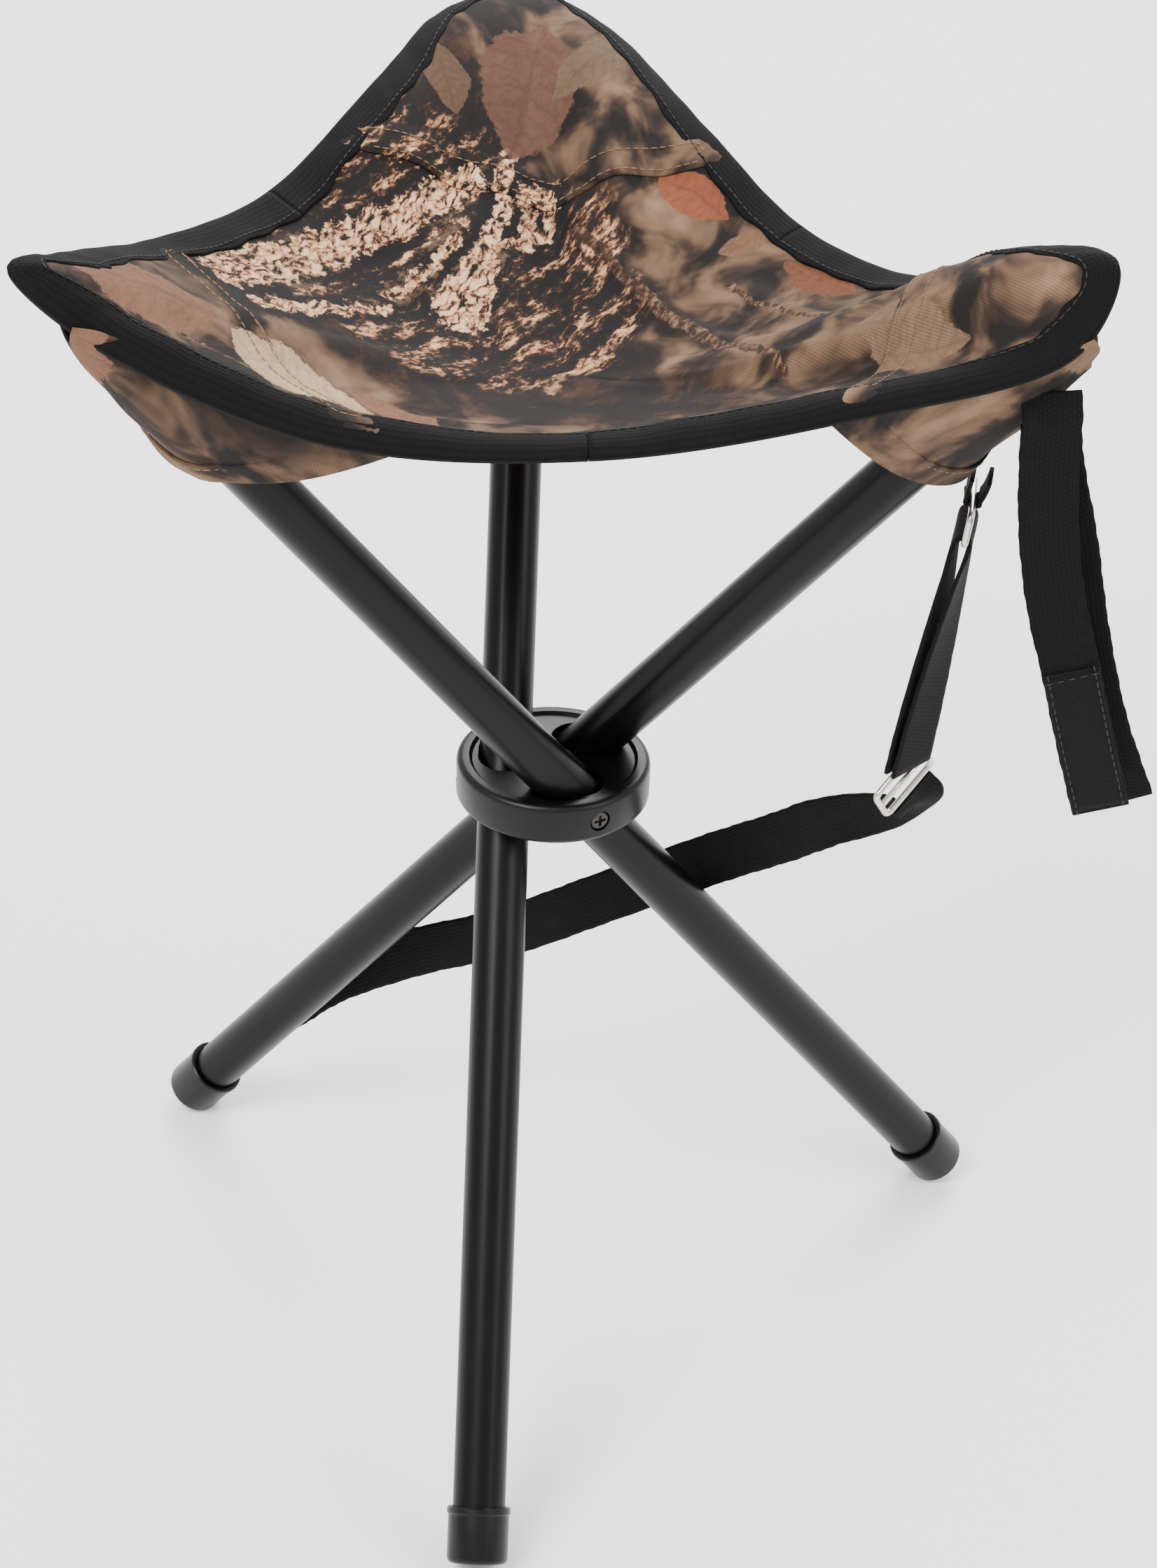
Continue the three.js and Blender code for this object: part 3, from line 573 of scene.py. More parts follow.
@dataclass(frozen=True)
class BarkPrint:
    """Woven polyester printed with bark, limbs, leaves and soft far-off foliage."""

    name: str = "camouflage_cloth"
    slate: Colour = (0.0032, 0.0026, 0.0030)
    umber: Colour = (0.0100, 0.0052, 0.0034)
    brown: Colour = (0.052, 0.021, 0.0100)
    tan: Colour = (0.125, 0.071, 0.040)
    sand: Colour = (0.245, 0.148, 0.088)
    peach: Colour = (0.470, 0.225, 0.112)
    cream: Colour = (0.780, 0.510, 0.300)
    grain_turn: float = 55.0  # the way the bark runs, in degrees
    limbs: tuple[Limb, ...] = (
        Limb((-128, -34), (-84, 34), (10, 8)), Limb((-84, 34), (-36, 88), (8, 6)),
        Limb((-40, 20), (-28, 70), (10, 3.6)), Limb((-28, 70), (-22, 104), (4, 3)),
        Limb((-18, 62), (-15, 92), (3.6, 3.2)), Limb((-15, 92), (-6, 93), (3.2, 3.2)),
        Limb((-6, 93), (-9, 72), (3.2, 2.6)), Limb((-66, 12), (-44, 52), (2.6, 2.2)),
        Limb((-112, -44), (-66, 6), (4.5, 1.8)), Limb((-24, 60), (-8, 72), (2.4, 2.0)),
    )
    twigs: tuple[Limb, ...] = (
        Limb((2, 70), (23, 46), (2.6, 2.2)), Limb((23, 46), (48, 12), (2.2, 2.6)),
        Limb((48, 12), (78, -40), (2.6, 1.6)),
        Limb((58, 40), (110, -30), (1.4, 1.0)), Limb((-150, -104), (-92, -92), (1.6, 1.1)),
    )
    leaves: tuple[Leaf, ...] = (
        Leaf((-91, -84), -12, (26, 17), (0.60, 0.40, 0.24)),
        Leaf((-58, -76), -28, (19, 11), (0.24, 0.105, 0.058)),
        Leaf((46, 84), -40, (18, 9), (0.25, 0.070, 0.028)),
        Leaf((92, 28), -52, (21, 7), (0.17, 0.052, 0.023)),
        Leaf((-148, -92), 25, (30, 17), (0.22, 0.105, 0.062)),
        Leaf((-16, 138), 80, (36, 20), (0.125, 0.055, 0.034)),
        Leaf((-50, 130), 110, (18, 9), (0.115, 0.062, 0.033)),
        Leaf((10, 150), 40, (22, 10), (0.145, 0.090, 0.052)),
        Leaf((66, 60), 20, (12, 5), (0.19, 0.095, 0.052)),
        Leaf((124, -56), 150, (24, 11), (0.19, 0.115, 0.066)),
    )

    def mask(self, x: Value, y: Value, limb: Limb, ragged: Value) -> Value:
        """1 inside a limb and 0 outside it, with a ragged edge."""
        (ax, ay), (bx, by) = limb.start, limb.end
        dx, dy = bx - ax, by - ay
        share = (((x - ax) * dx + (y - ay) * dy) / (dx * dx + dy * dy)).most(0.0).least(1.0)
        off_x, off_y = x - ax - share * dx, y - ay - share * dy
        width = share * (limb.width[1] - limb.width[0]) + limb.width[0]
        return (width + ragged - (off_x * off_x + off_y * off_y).root()).ramp(-0.4, 0.6)

    def leaf(self, x: Value, y: Value, leaf: Leaf, ragged: Value) -> tuple[Value, Value]:
        """A leaf's mask, and how near a vein is, from 0 to 1."""
        turn = math.radians(leaf.turn)
        c, s = math.cos(turn), math.sin(turn)
        u = ((x - leaf.middle[0]) * c + (y - leaf.middle[1]) * s) / leaf.size[0]
        v = ((y - leaf.middle[1]) * c - (x - leaf.middle[0]) * s) / leaf.size[1]
        blade = 1 - u * u - abs(v) + ragged * 0.1
        side = (u + abs(v) * 0.35).wave(0.24) ** 6.0
        return blade.ramp(-0.02, 0.06), (1 - abs(v) * 9).most(side * 0.6).most(0.0)

    def soft_foliage(self, tree: NodeTree, flat: bpy.types.NodeSocket) -> bpy.types.NodeSocket:
        """The out-of-focus tan foliage."""
        blotch = tree.noise(flat, 24, 3.0, 0.55, 0.5)
        stops = [(0.41, (0.0062, 0.0040, 0.0030)), (0.48, (0.036, 0.020, 0.0125)),
                 (0.56, self.tan), (0.70, self.sand)]
        return tree.ramp(blotch, stops)

    def bark(self, tree: NodeTree, flat: bpy.types.NodeSocket) -> tuple[bpy.types.NodeSocket, Value]:
        """Streaked bark, and its grit."""
        grain = tree.moved(tree.warped(flat, 22, 9), turn=-self.grain_turn)
        streak = tree.noise(tree.moved(grain, scale=(0.2, 1, 1)), 9, 6, 0.62)
        grit = tree.noise(tree.moved(grain, scale=(0.45, 1, 1)), 1.9, 4, 0.7)
        stops = [(0.42, self.slate), (0.49, self.umber), (0.535, self.brown), (0.585, self.peach),
                 (0.66, self.cream)]
        return tree.ramp(streak * 0.85 + grit * 0.50 - 0.17, stops), grit

    def plates(self, tree: NodeTree, flat: bpy.types.NodeSocket, grit: Value) -> bpy.types.NodeSocket:
        """The lit limbs' bark: long plates parted by dark cracks."""
        grain = tree.moved(tree.warped(flat, 9, 7), turn=-self.grain_turn - 14)
        cracks = tree.veined(tree.moved(tree.warped(grain, 2.2, 2.6), scale=(0.36, 1, 1)), 3.2)
        fleck = tree.noise(tree.moved(grain, scale=(0.3, 1, 1)), 2.6, 5, 0.7)
        light = cracks * 1.1 + (fleck - 0.5) * 1.5 + (grit - 0.5) * 0.7 + 0.12
        stops = [(0.02, self.slate), (0.12, self.brown), (0.24, self.peach), (0.44, self.cream)]
        return tree.ramp(light, stops)

    def ground(self, tree: NodeTree, flat: bpy.types.NodeSocket, grit: Value) -> bpy.types.NodeSocket:
        """The dark litter between the bark and the leaves."""
        litter = tree.noise(flat, 24, 6, 0.6, 0.6) * 0.8 + grit * 0.3
        stops = [(0.44, self.slate), (0.56, self.umber), (0.68, self.brown), (0.80, self.tan)]
        return tree.ramp(litter, stops)

    def make(self) -> bpy.types.Material:
        """Builds the material; the print is drawn in millimetres on the flat cloth."""
        tree = NodeTree(self.name)
        flat = tree.moved(tree.flat_place(), scale=(1 / MM,) * 3)
        x, y, _ = tree.split(tree.warped(flat, 16, 7))
        ragged = (tree.noise(flat, 3.2, 4, 0.7) - 0.5) * 5
        bark, grit = self.bark(tree, flat)
        colour = self.ground(tree, flat, grit)
        to_right = x * 0.79 + y * 0.43
        blurred = (to_right + (tree.noise(flat, 26, 2) - 0.5) * 70).ramp(24, 46)
        front = (y + x * 0.12 + (tree.noise(flat, 20, 2) - 0.5) * 40).ramp(-52, -70)
        colour = tree.mix(blurred.most(front * 0.9), colour, self.soft_foliage(tree, flat))
        ex, ey = (x + 62) / 92, (y - 42) / 74
        bark_zone = (ex * ex + ey * ey + (tree.noise(flat, 18, 3) - 0.5) * 0.9).ramp(1.05, 0.8)
        colour = tree.mix(bark_zone, colour, bark)
        limb = self.plates(tree, flat, grit)
        torn = (tree.noise(flat, 7, 5, 0.68) - 0.5) * 15 + ragged * 0.5
        for piece in self.limbs:
            colour = tree.mix(self.mask(x, y, piece, torn + 4.5) * 0.85, colour, self.slate)
        for piece in self.limbs:
            colour = tree.mix(self.mask(x, y, piece, torn), colour, limb)
        twig = tree.ramp(grit, [(0.35, self.umber), (0.5, self.brown), (0.66, self.sand)])
        for piece in self.twigs:
            colour = tree.mix(self.mask(x, y, piece, ragged * 0.4), colour, twig)
        for piece in self.leaves:
            inside, vein = self.leaf(x, y, piece, ragged)
            spotted, veined = (tuple(c * share for c in piece.colour) for share in (0.5, 0.4))
            mottled = tree.mix(grit.ramp(0.35, 0.7) * 0.5, piece.colour, spotted)
            colour = tree.mix(inside * 0.9, colour, tree.mix(vein * 0.4, mottled, veined))
        self.weave(tree, colour)
        return tree.material

    def weave(self, tree: NodeTree, colour: bpy.types.NodeSocket) -> None:
        """Lays the print on the diagonal weave and sets the shader."""
        x, y, _ = tree.split(tree.flat_place())
        pitch = 0.62 * MM
        rib = (x + y).wave(pitch * 1.6)
        yarn = x.wave(pitch) * y.wave(pitch)
        slub = tree.noise(tree.moved(tree.flat_place(), scale=(0.1, 1, 1)), 0.8 * MM, 3)
        shade = tree.mix(rib * 0.32 + slub * 0.14, colour, (0.012, 0.010, 0.010))
        tree.set(Base_Color=shade, Roughness=0.78 + slub * 0.15,
                 Normal=tree.bump(rib * 0.5 + yarn * 0.35 + slub * 0.3, 0.09 * MM))
        tree.set(Specular_IOR_Level=0.22)


class FinishName(Enum):
    """The finishes of the stool's new pieces."""

    LEG = "leg"
    HUB = "hub"
    CAP = "cap"
    SCREW = "screw"
    CLOTH = "cloth"
    TAPE = "tape"
    WEBBING = "webbing"
    PILE = "pile"
    NICKEL = "nickel"
    TAN_THREAD = "tan_thread"
    BLACK_THREAD = "black_thread"


def make_finishes() -> dict[FinishName, bpy.types.Material]:
    """Builds every finish once."""
    return {
        FinishName.LEG: PowderCoat().make(),
        FinishName.HUB: MouldedPlastic("hub_plastic", (0.0024, 0.0021, 0.0021), 0.34).make(),
        FinishName.CAP: MouldedPlastic("cap_plastic", (0.0018, 0.0016, 0.0018), 0.30, 0.8 * MM).make(),
        FinishName.SCREW: BlackSteel().make(),
        FinishName.CLOTH: BarkPrint().make(),
        FinishName.TAPE: Webbing("binding_tape", 1.25 * MM, 1.55 * MM).make(),
        FinishName.WEBBING: Webbing("strap_webbing", 1.7 * MM, 1.6 * MM, 0.22 * MM).make(),
        FinishName.PILE: Pile().make(),
        FinishName.NICKEL: PlatedWire().make(),
        FinishName.TAN_THREAD: Thread("tan_thread", (0.24, 0.125, 0.045)).make(),
        FinishName.BLACK_THREAD: Thread("black_thread", (0.012, 0.011, 0.011)).make(),
    }


Finishes = dict[FinishName, bpy.types.Material]


# ---------------------------------------------------------------- geometry node trees
class GeometryTree:
    """A Geometry Nodes tree with named inputs, built node by node."""

    def __init__(self, name: str, inputs: dict[str, float]) -> None:
        """Starts a tree with a geometry input and number inputs."""
        self.tree = bpy.data.node_groups.new(name, "GeometryNodeTree")
        self.tree.interface.new_socket("Geometry", in_out="INPUT", socket_type="NodeSocketGeometry")
        for label, default in inputs.items():
            socket = self.tree.interface.new_socket(label, in_out="INPUT", socket_type="NodeSocketFloat")
            socket.default_value = default
        self.tree.interface.new_socket("Material", in_out="INPUT", socket_type="NodeSocketMaterial")
        self.tree.interface.new_socket("Geometry", in_out="OUTPUT", socket_type="NodeSocketGeometry")
        self.given = self.add("NodeGroupInput").outputs

    def add(self, kind: str, settings: dict | None = None, inputs: dict | None = None) -> bpy.types.Node:
        """Adds a node; inputs are sockets or constants, by name or number."""
        node = self.tree.nodes.new(kind)
        for name, setting in (settings or {}).items():
            setattr(node, name, setting)
        for name, value in (inputs or {}).items():
            if isinstance(value, bpy.types.NodeSocket):
                self.tree.links.new(value, node.inputs[name])
            else:
                node.inputs[name].default_value = value
        return node

    def end(self, geometry: bpy.types.NodeSocket) -> None:
        """Realizes the instances, gives them the material and closes the tree."""
        real = self.add("GeometryNodeRealizeInstances", inputs={0: geometry})
        painted = self.add("GeometryNodeSetMaterial",
                           inputs={"Geometry": real.outputs[0], "Material": self.given["Material"]})
        self.add("NodeGroupOutput", inputs={0: painted.outputs[0]})

    def run(self, piece: bpy.types.Object, material: bpy.types.Material, **values: float) -> None:
        """Runs the tree on a piece and keeps the result as its plain mesh."""
        modifier = piece.modifiers.new(self.tree.name, "NODES")
        modifier.node_group = self.tree
        for socket in self.tree.interface.items_tree:
            if socket.in_out == "INPUT" and socket.name.replace(" ", "_") in values:
                modifier[socket.identifier] = values[socket.name.replace(" ", "_")]
            elif socket.in_out == "INPUT" and socket.name == "Material":
                modifier[socket.identifier] = material
        settle_modifiers(piece)


def stitch_tree() -> GeometryTree:
    """Lays one short thread on each step of every line of a mesh of edges."""
    made = GeometryTree("stitch_rows", {"Pitch": 3.2 * MM, "Length": 2.7 * MM, "Thread": 0.5 * MM})
    curve = made.add("GeometryNodeMeshToCurve", inputs={"Mesh": made.given["Geometry"]})
    steps = made.add("GeometryNodeResampleCurve", inputs={"Curve": curve.outputs[0]})
    steps.mode = "LENGTH"
    made.tree.links.new(made.given["Pitch"], steps.inputs["Length"])
    bead = made.add("GeometryNodeMeshUVSphere", inputs={"Segments": 6, "Rings": 5, "Radius": 0.5})
    size = made.add("ShaderNodeCombineXYZ", inputs={0: made.given["Thread"], 1: made.given["Thread"],
                                                    2: made.given["Length"]})
    thread = made.add("GeometryNodeTransform",
                      inputs={"Geometry": bead.outputs[0], "Scale": size.outputs[0]})
    tangent = made.add("GeometryNodeInputTangent")
    aligned = made.add("FunctionNodeAlignRotationToVector", {"axis": "Z"}, {"Vector": tangent.outputs[0]})
    laid = made.add("GeometryNodeInstanceOnPoints",
                    inputs={"Points": steps.outputs[0], "Instance": thread.outputs[0],
                            "Rotation": aligned.outputs[0]})
    smoothed = made.add("GeometryNodeSetShadeSmooth", inputs={0: laid.outputs[0]})
    made.end(smoothed.outputs[0])
    return made


def stitched(name: str, lines: Sequence[np.ndarray], tree: GeometryTree, material: bpy.types.Material,
             **sizes: float) -> bpy.types.Object:
    """Rows of stitches along lines of points.

    Args:
        name: The piece's name.
        lines: Each row's line.
        tree: The stitch tree.
        material: The thread.
        sizes: The tree's inputs to set, in metres.

    Returns:
        One mesh that holds every stitch.
    """
    points = np.vstack(lines)
    edges, start = [], 0
    for line in lines:
        edges += [(start + i, start + i + 1) for i in range(len(line) - 1)]
        start += len(line)
    mesh = bpy.data.meshes.new(name)
    mesh.from_pydata(points.tolist(), edges, [])
    piece = bpy.data.objects.new(name, mesh)
    bpy.context.scene.collection.objects.link(piece)
    tree.run(piece, material, **sizes)
    piece.data.polygons.foreach_set("use_smooth", [True] * len(piece.data.polygons))
    return piece


# ---------------------------------------------------------------- the frame's own places
@dataclass(frozen=True)
class Leg:
    """One leg: a tube that leans past the hub's axis and turns on a radial screw."""

    letter: str
    pivot: np.ndarray
    radial: np.ndarray
    lean: float

    @property
    def body(self) -> str:
        """The CAD body's name."""
        return f"leg_{self.letter}"

    @property
    def outward(self) -> np.ndarray:
        """The level direction in which the leg's upper end leans."""
        return np.array([self.radial[1], -self.radial[0], 0.0])

    @property
    def up(self) -> np.ndarray:
        """The direction along the tube, upwards."""
        return self.outward * math.sin(self.lean) + np.array([0, 0, math.cos(self.lean)])

    @property
    def under(self) -> np.ndarray:
        """The direction square to the tube on its under side."""
        return self.outward * math.cos(self.lean) - np.array([0, 0, math.sin(self.lean)])

    def at(self, along: float, below: float = 0.0, beside: float = 0.0) -> np.ndarray:
        """A point by the leg: along its axis, below it, and beside it outwards from the hub."""
        return self.pivot + self.radial * beside + self.up * along + self.under * below


def read_legs() -> dict[str, Leg]:
    """The legs, from the frame's joints."""
    legs = {}
    for joint in frame["joints"]:
        letter = joint["child"][-1]
        legs[letter] = Leg(letter, np.array(joint["pos_m"]), -np.array(joint["axis"]),
                           math.radians(max(joint["range_deg"])))
    return legs


def hub_centre() -> np.ndarray:
    """The middle of the hub."""
    low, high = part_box("hub")
    return np.array((low + high) / 2)


TUBE_RADIUS = 9.5 * MM
LEG_ABOVE = 275 * MM  # hub pivot to the tube's upper end
WIRE_SIDES = 16  # sides of a wire's or a rod's round section
TAIL_POINTS = 97  # points along a tail or the doubled strap
STRAP_POINTS = 161  # points along the long lower strap
PATCH_END_POINTS = 12  # points of the stitched row across a grip patch


# ---------------------------------------------------------------- seat
@dataclass(frozen=True)
class Fold:
    """A soft crease across the seat: its middle, its run in degrees, its length, width and height."""

    middle: tuple[float, float]
    run: float
    length: float
    width: float
    height: float

    def rise(self, plan: np.ndarray) -> np.ndarray:
        """How far the crease lifts the cloth at points of the plan."""
        turn = math.radians(self.run)
        off = plan - np.array(self.middle)
        along = off[..., 0] * math.cos(turn) + off[..., 1] * math.sin(turn)
        across = off[..., 1] * math.cos(turn) - off[..., 0] * math.sin(turn)
        dip = 0.6 * np.exp(-((across - 1.6 * self.width) / self.width) ** 2)
        ridge = np.exp(-(across / self.width) ** 2) - dip
        return self.height * ridge * np.exp(-(along / (0.5 * self.length)) ** 4)


class SeatShape:
    """The seat's surface, as places round its outline and shares of the way out from its middle."""

    centre_drop = 52 * MM
    sag_power = 1.5
    lift_spread = 3.0  # places each side of a corner
    # The binding's outer edge, as [x, y, height above the tube ends] in mm, for tips 170 mm out.
    outline = (
        (-152, -121, 15), (-177, -119, 38), (-167, -96, 32),  # corner a
        (-141, -36, 10), (-107, 32, -3), (-71, 104, 10),  # left edge
        (-49, 160, 11), (-18, 197, -1), (10, 166, 3),  # corner b
        (45, 112, -7), (83, 60, -23), (126, 1, -13),  # right edge
        (159, -49, 24), (178, -78, 33), (166, -89, 7),  # corner c
        (95, -99, -14), (8, -111, -26), (-79, -117, -20),  # front edge
    )
    drawn_reach = 170  # mm, the reach of the tips that the outline is drawn for
    corner_at = {"a": 1, "b": 7, "c": 13}
    seam_at = {"a": (-1.3, 3.1), "b": (4.4, 9.4), "c": (11.05, 15.1)}
    corner_lift = {"a": 9 * MM, "b": 28 * MM, "c": 11 * MM}
    # each corner's run of tape, from mid-edge to mid-edge
    edges = {"a": (-2, 4), "b": (4, 10), "c": (10, 16)}
    front_roll = 7.5 * MM  # how far the front edge rolls down over its binding
    roll_width = 12.5 * MM
    folds = (
        Fold((0.026, 0.040), -52, 0.130, 0.0050, 0.0022),
        Fold((0.062, -0.030), -22, 0.110, 0.0045, 0.0016),
        Fold((0.000, -0.070), 3, 0.150, 0.0050, 0.0014),
        Fold((-0.082, -0.046), 38, 0.090, 0.0050, 0.0012),
        Fold((0.078, 0.010), -58, 0.080, 0.0040, 0.0014),
        Fold((-0.010, 0.118), 88, 0.070, 0.0055, 0.0016),
        Fold((-0.048, 0.040), 60, 0.110, 0.0065, 0.0012),
    )

    def __init__(self, hub: np.ndarray, leg: Leg) -> None:
        """Places the outline over the hub, by the reach and height of the legs' tips."""
        tip = leg.at(LEG_ABOVE) - leg.pivot
        reach, height = float(np.linalg.norm(tip[:2])), float(tip[2])
        points = np.array(self.outline, float)
        points[:, :2] *= reach / self.drawn_reach
        points[:, 2] = points[:, 2] * MM + height
        self.hub = hub
        self.rim_points = points + hub
        self.centre = hub + np.array([0, 0, height - self.centre_drop])

    def rim(self, place: np.ndarray) -> np.ndarray:
        """Points of the outline."""
        return closed_curve(self.rim_points, place)

    def lift(self, place: np.ndarray) -> np.ndarray:
        """How much the corners raise the cloth over their tubes."""
        total = np.zeros(np.shape(place))
        around = len(self.outline)
        for corner, at in self.corner_at.items():
            away = np.minimum(abs((place - at + around / 2) % around - around / 2), self.lift_spread)
            total = total + self.corner_lift[corner] * np.cos(away / self.lift_spread * math.pi / 2) ** 2
        return total

    def creases(self, points: np.ndarray, share: np.ndarray) -> np.ndarray:
        """Height of the folds, the seams' puckers and the slack of the cloth."""
        plan = points[..., :2] - self.hub[:2]
        rise = sum(fold.rise(plan) for fold in self.folds)
        x, y = plan[..., 0], plan[..., 1]
        slack = np.sin(61 * x + 23 * y + 1.1) * np.sin(47 * y - 19 * x + 0.4)
        rise = rise + 0.0009 * slack + 0.0003 * np.sin(190 * x - 90 * y) * np.sin(160 * y + 70 * x)
        for corner in self.corner_at:
            along, off = self.beside_seam(corner, plan)
            waves = np.sin(along * 78 + 0.6) + 0.6 * np.sin(along * 171 + 2.0)
            size = 0.0021 if corner == "b" else 0.0010
            rise = rise + size * waves * np.exp(-(off / 0.014) ** 2)
        return rise * (1 - smooth(share, 0.90, 0.99))

    def seam_line(self, corner: str) -> tuple[np.ndarray, np.ndarray]:
        """The plan points where a corner's seam meets the outline, from the hub's axis."""
        ends = self.rim(np.array(self.seam_at[corner], float))[:, :2] - self.hub[:2]
        return ends[0], ends[1]

    def beside_seam(self, corner: str, plan: np.ndarray) -> tuple[np.ndarray, np.ndarray]:
        """Distance along a corner's seam and out from it towards the tip."""
        start, end = self.seam_line(corner)
        along = unit(end - start)
        out = np.array([along[1], -along[0]])
        if out @ start < 0:
            out = -out
        off = plan - start
        return off @ along, off @ out

    def point(self, place: np.ndarray, share: np.ndarray) -> np.ndarray:
        """Points of the cloth's middle surface."""
        place, share = np.broadcast_arrays(np.asarray(place, float), np.asarray(share, float))
        rim = self.rim(place)
        share = np.maximum(share, 0)
        points = self.centre + (rim - self.centre) * share[..., None]
        bump = share**3 * (1 - share) * 256 / 27
        points[..., 2] = self.centre[2] + (rim[..., 2] - self.centre[2]) * share**self.sag_power
        points[..., 2] += self.lift(place) * bump
        points[..., 2] += self.creases(points, share) + self.roll(place, share, rim)
        return points

    def roll(self, place: np.ndarray, share: np.ndarray, rim: np.ndarray) -> np.ndarray:
        """How far the cloth stands up behind its rolled front edge."""
        around = len(self.outline)
        from_front = abs((place - 16.6 + around / 2) % around - around / 2)
        amount = self.front_roll * (0.22 + 0.78 * (1 - smooth(from_front, 1.2, 3.4)))
        inset = (1 - share) * np.linalg.norm((rim - self.centre)[..., :2], axis=-1) / self.roll_width
        return amount * inset * np.exp(1 - inset)

    def normal(self, place: np.ndarray, share: np.ndarray) -> np.ndarray:
        """The cloth's upward normals."""
        round_it = self.point(place + 0.01, share) - self.point(place - 0.01, share)
        out = self.point(place, share + 0.005) - self.point(place, share - 0.005)
        normal = unit(np.cross(out, round_it))
        return np.where(normal[..., 2:] < 0, -normal, normal)

    def share_inside(self, place: np.ndarray, inset: np.ndarray | float) -> np.ndarray:
        """The share that lies inset metres square inside the outline."""
        run = unit((self.rim(place + 0.02) - self.rim(place - 0.02))[..., :2])
        out = (self.rim(place) - self.centre)[..., :2]
        long = np.linalg.norm(out, axis=-1)
        slant = abs(run[..., 0] * out[..., 1] - run[..., 1] * out[..., 0]) / long
        return 1 - inset / (long * np.maximum(slant, 0.5))

    def seam_share(self, corner: str, place: np.ndarray, shift: float = 0.0) -> np.ndarray:
        """The share at which a corner's seam is crossed, shifted outwards."""
        start, end = self.seam_line(corner)
        across = unit(np.array([end[1] - start[1], start[0] - end[0]]))
        reach = across @ start
        rim = self.rim(place)[..., :2] - self.hub[:2]
        return (reach + shift * np.sign(reach)) / (rim @ across)

    def flat(self, place: np.ndarray, share: np.ndarray) -> np.ndarray:
        """Where points lie on the cloth when it is spread flat: along each ray by its true length."""
        place, share = np.broadcast_arrays(np.asarray(place, float), np.asarray(share, float))
        steps = np.linspace(0, 1, 13)
        ray = self.point(place[..., None] + 0 * steps, share[..., None] * steps)
        long = np.linalg.norm(np.diff(ray, axis=-2), axis=-1).sum(-1)
        out = unit((self.rim(place) - self.centre)[..., :2])
        return np.concatenate([out * long[..., None], np.zeros(long.shape + (1,))], axis=-1)


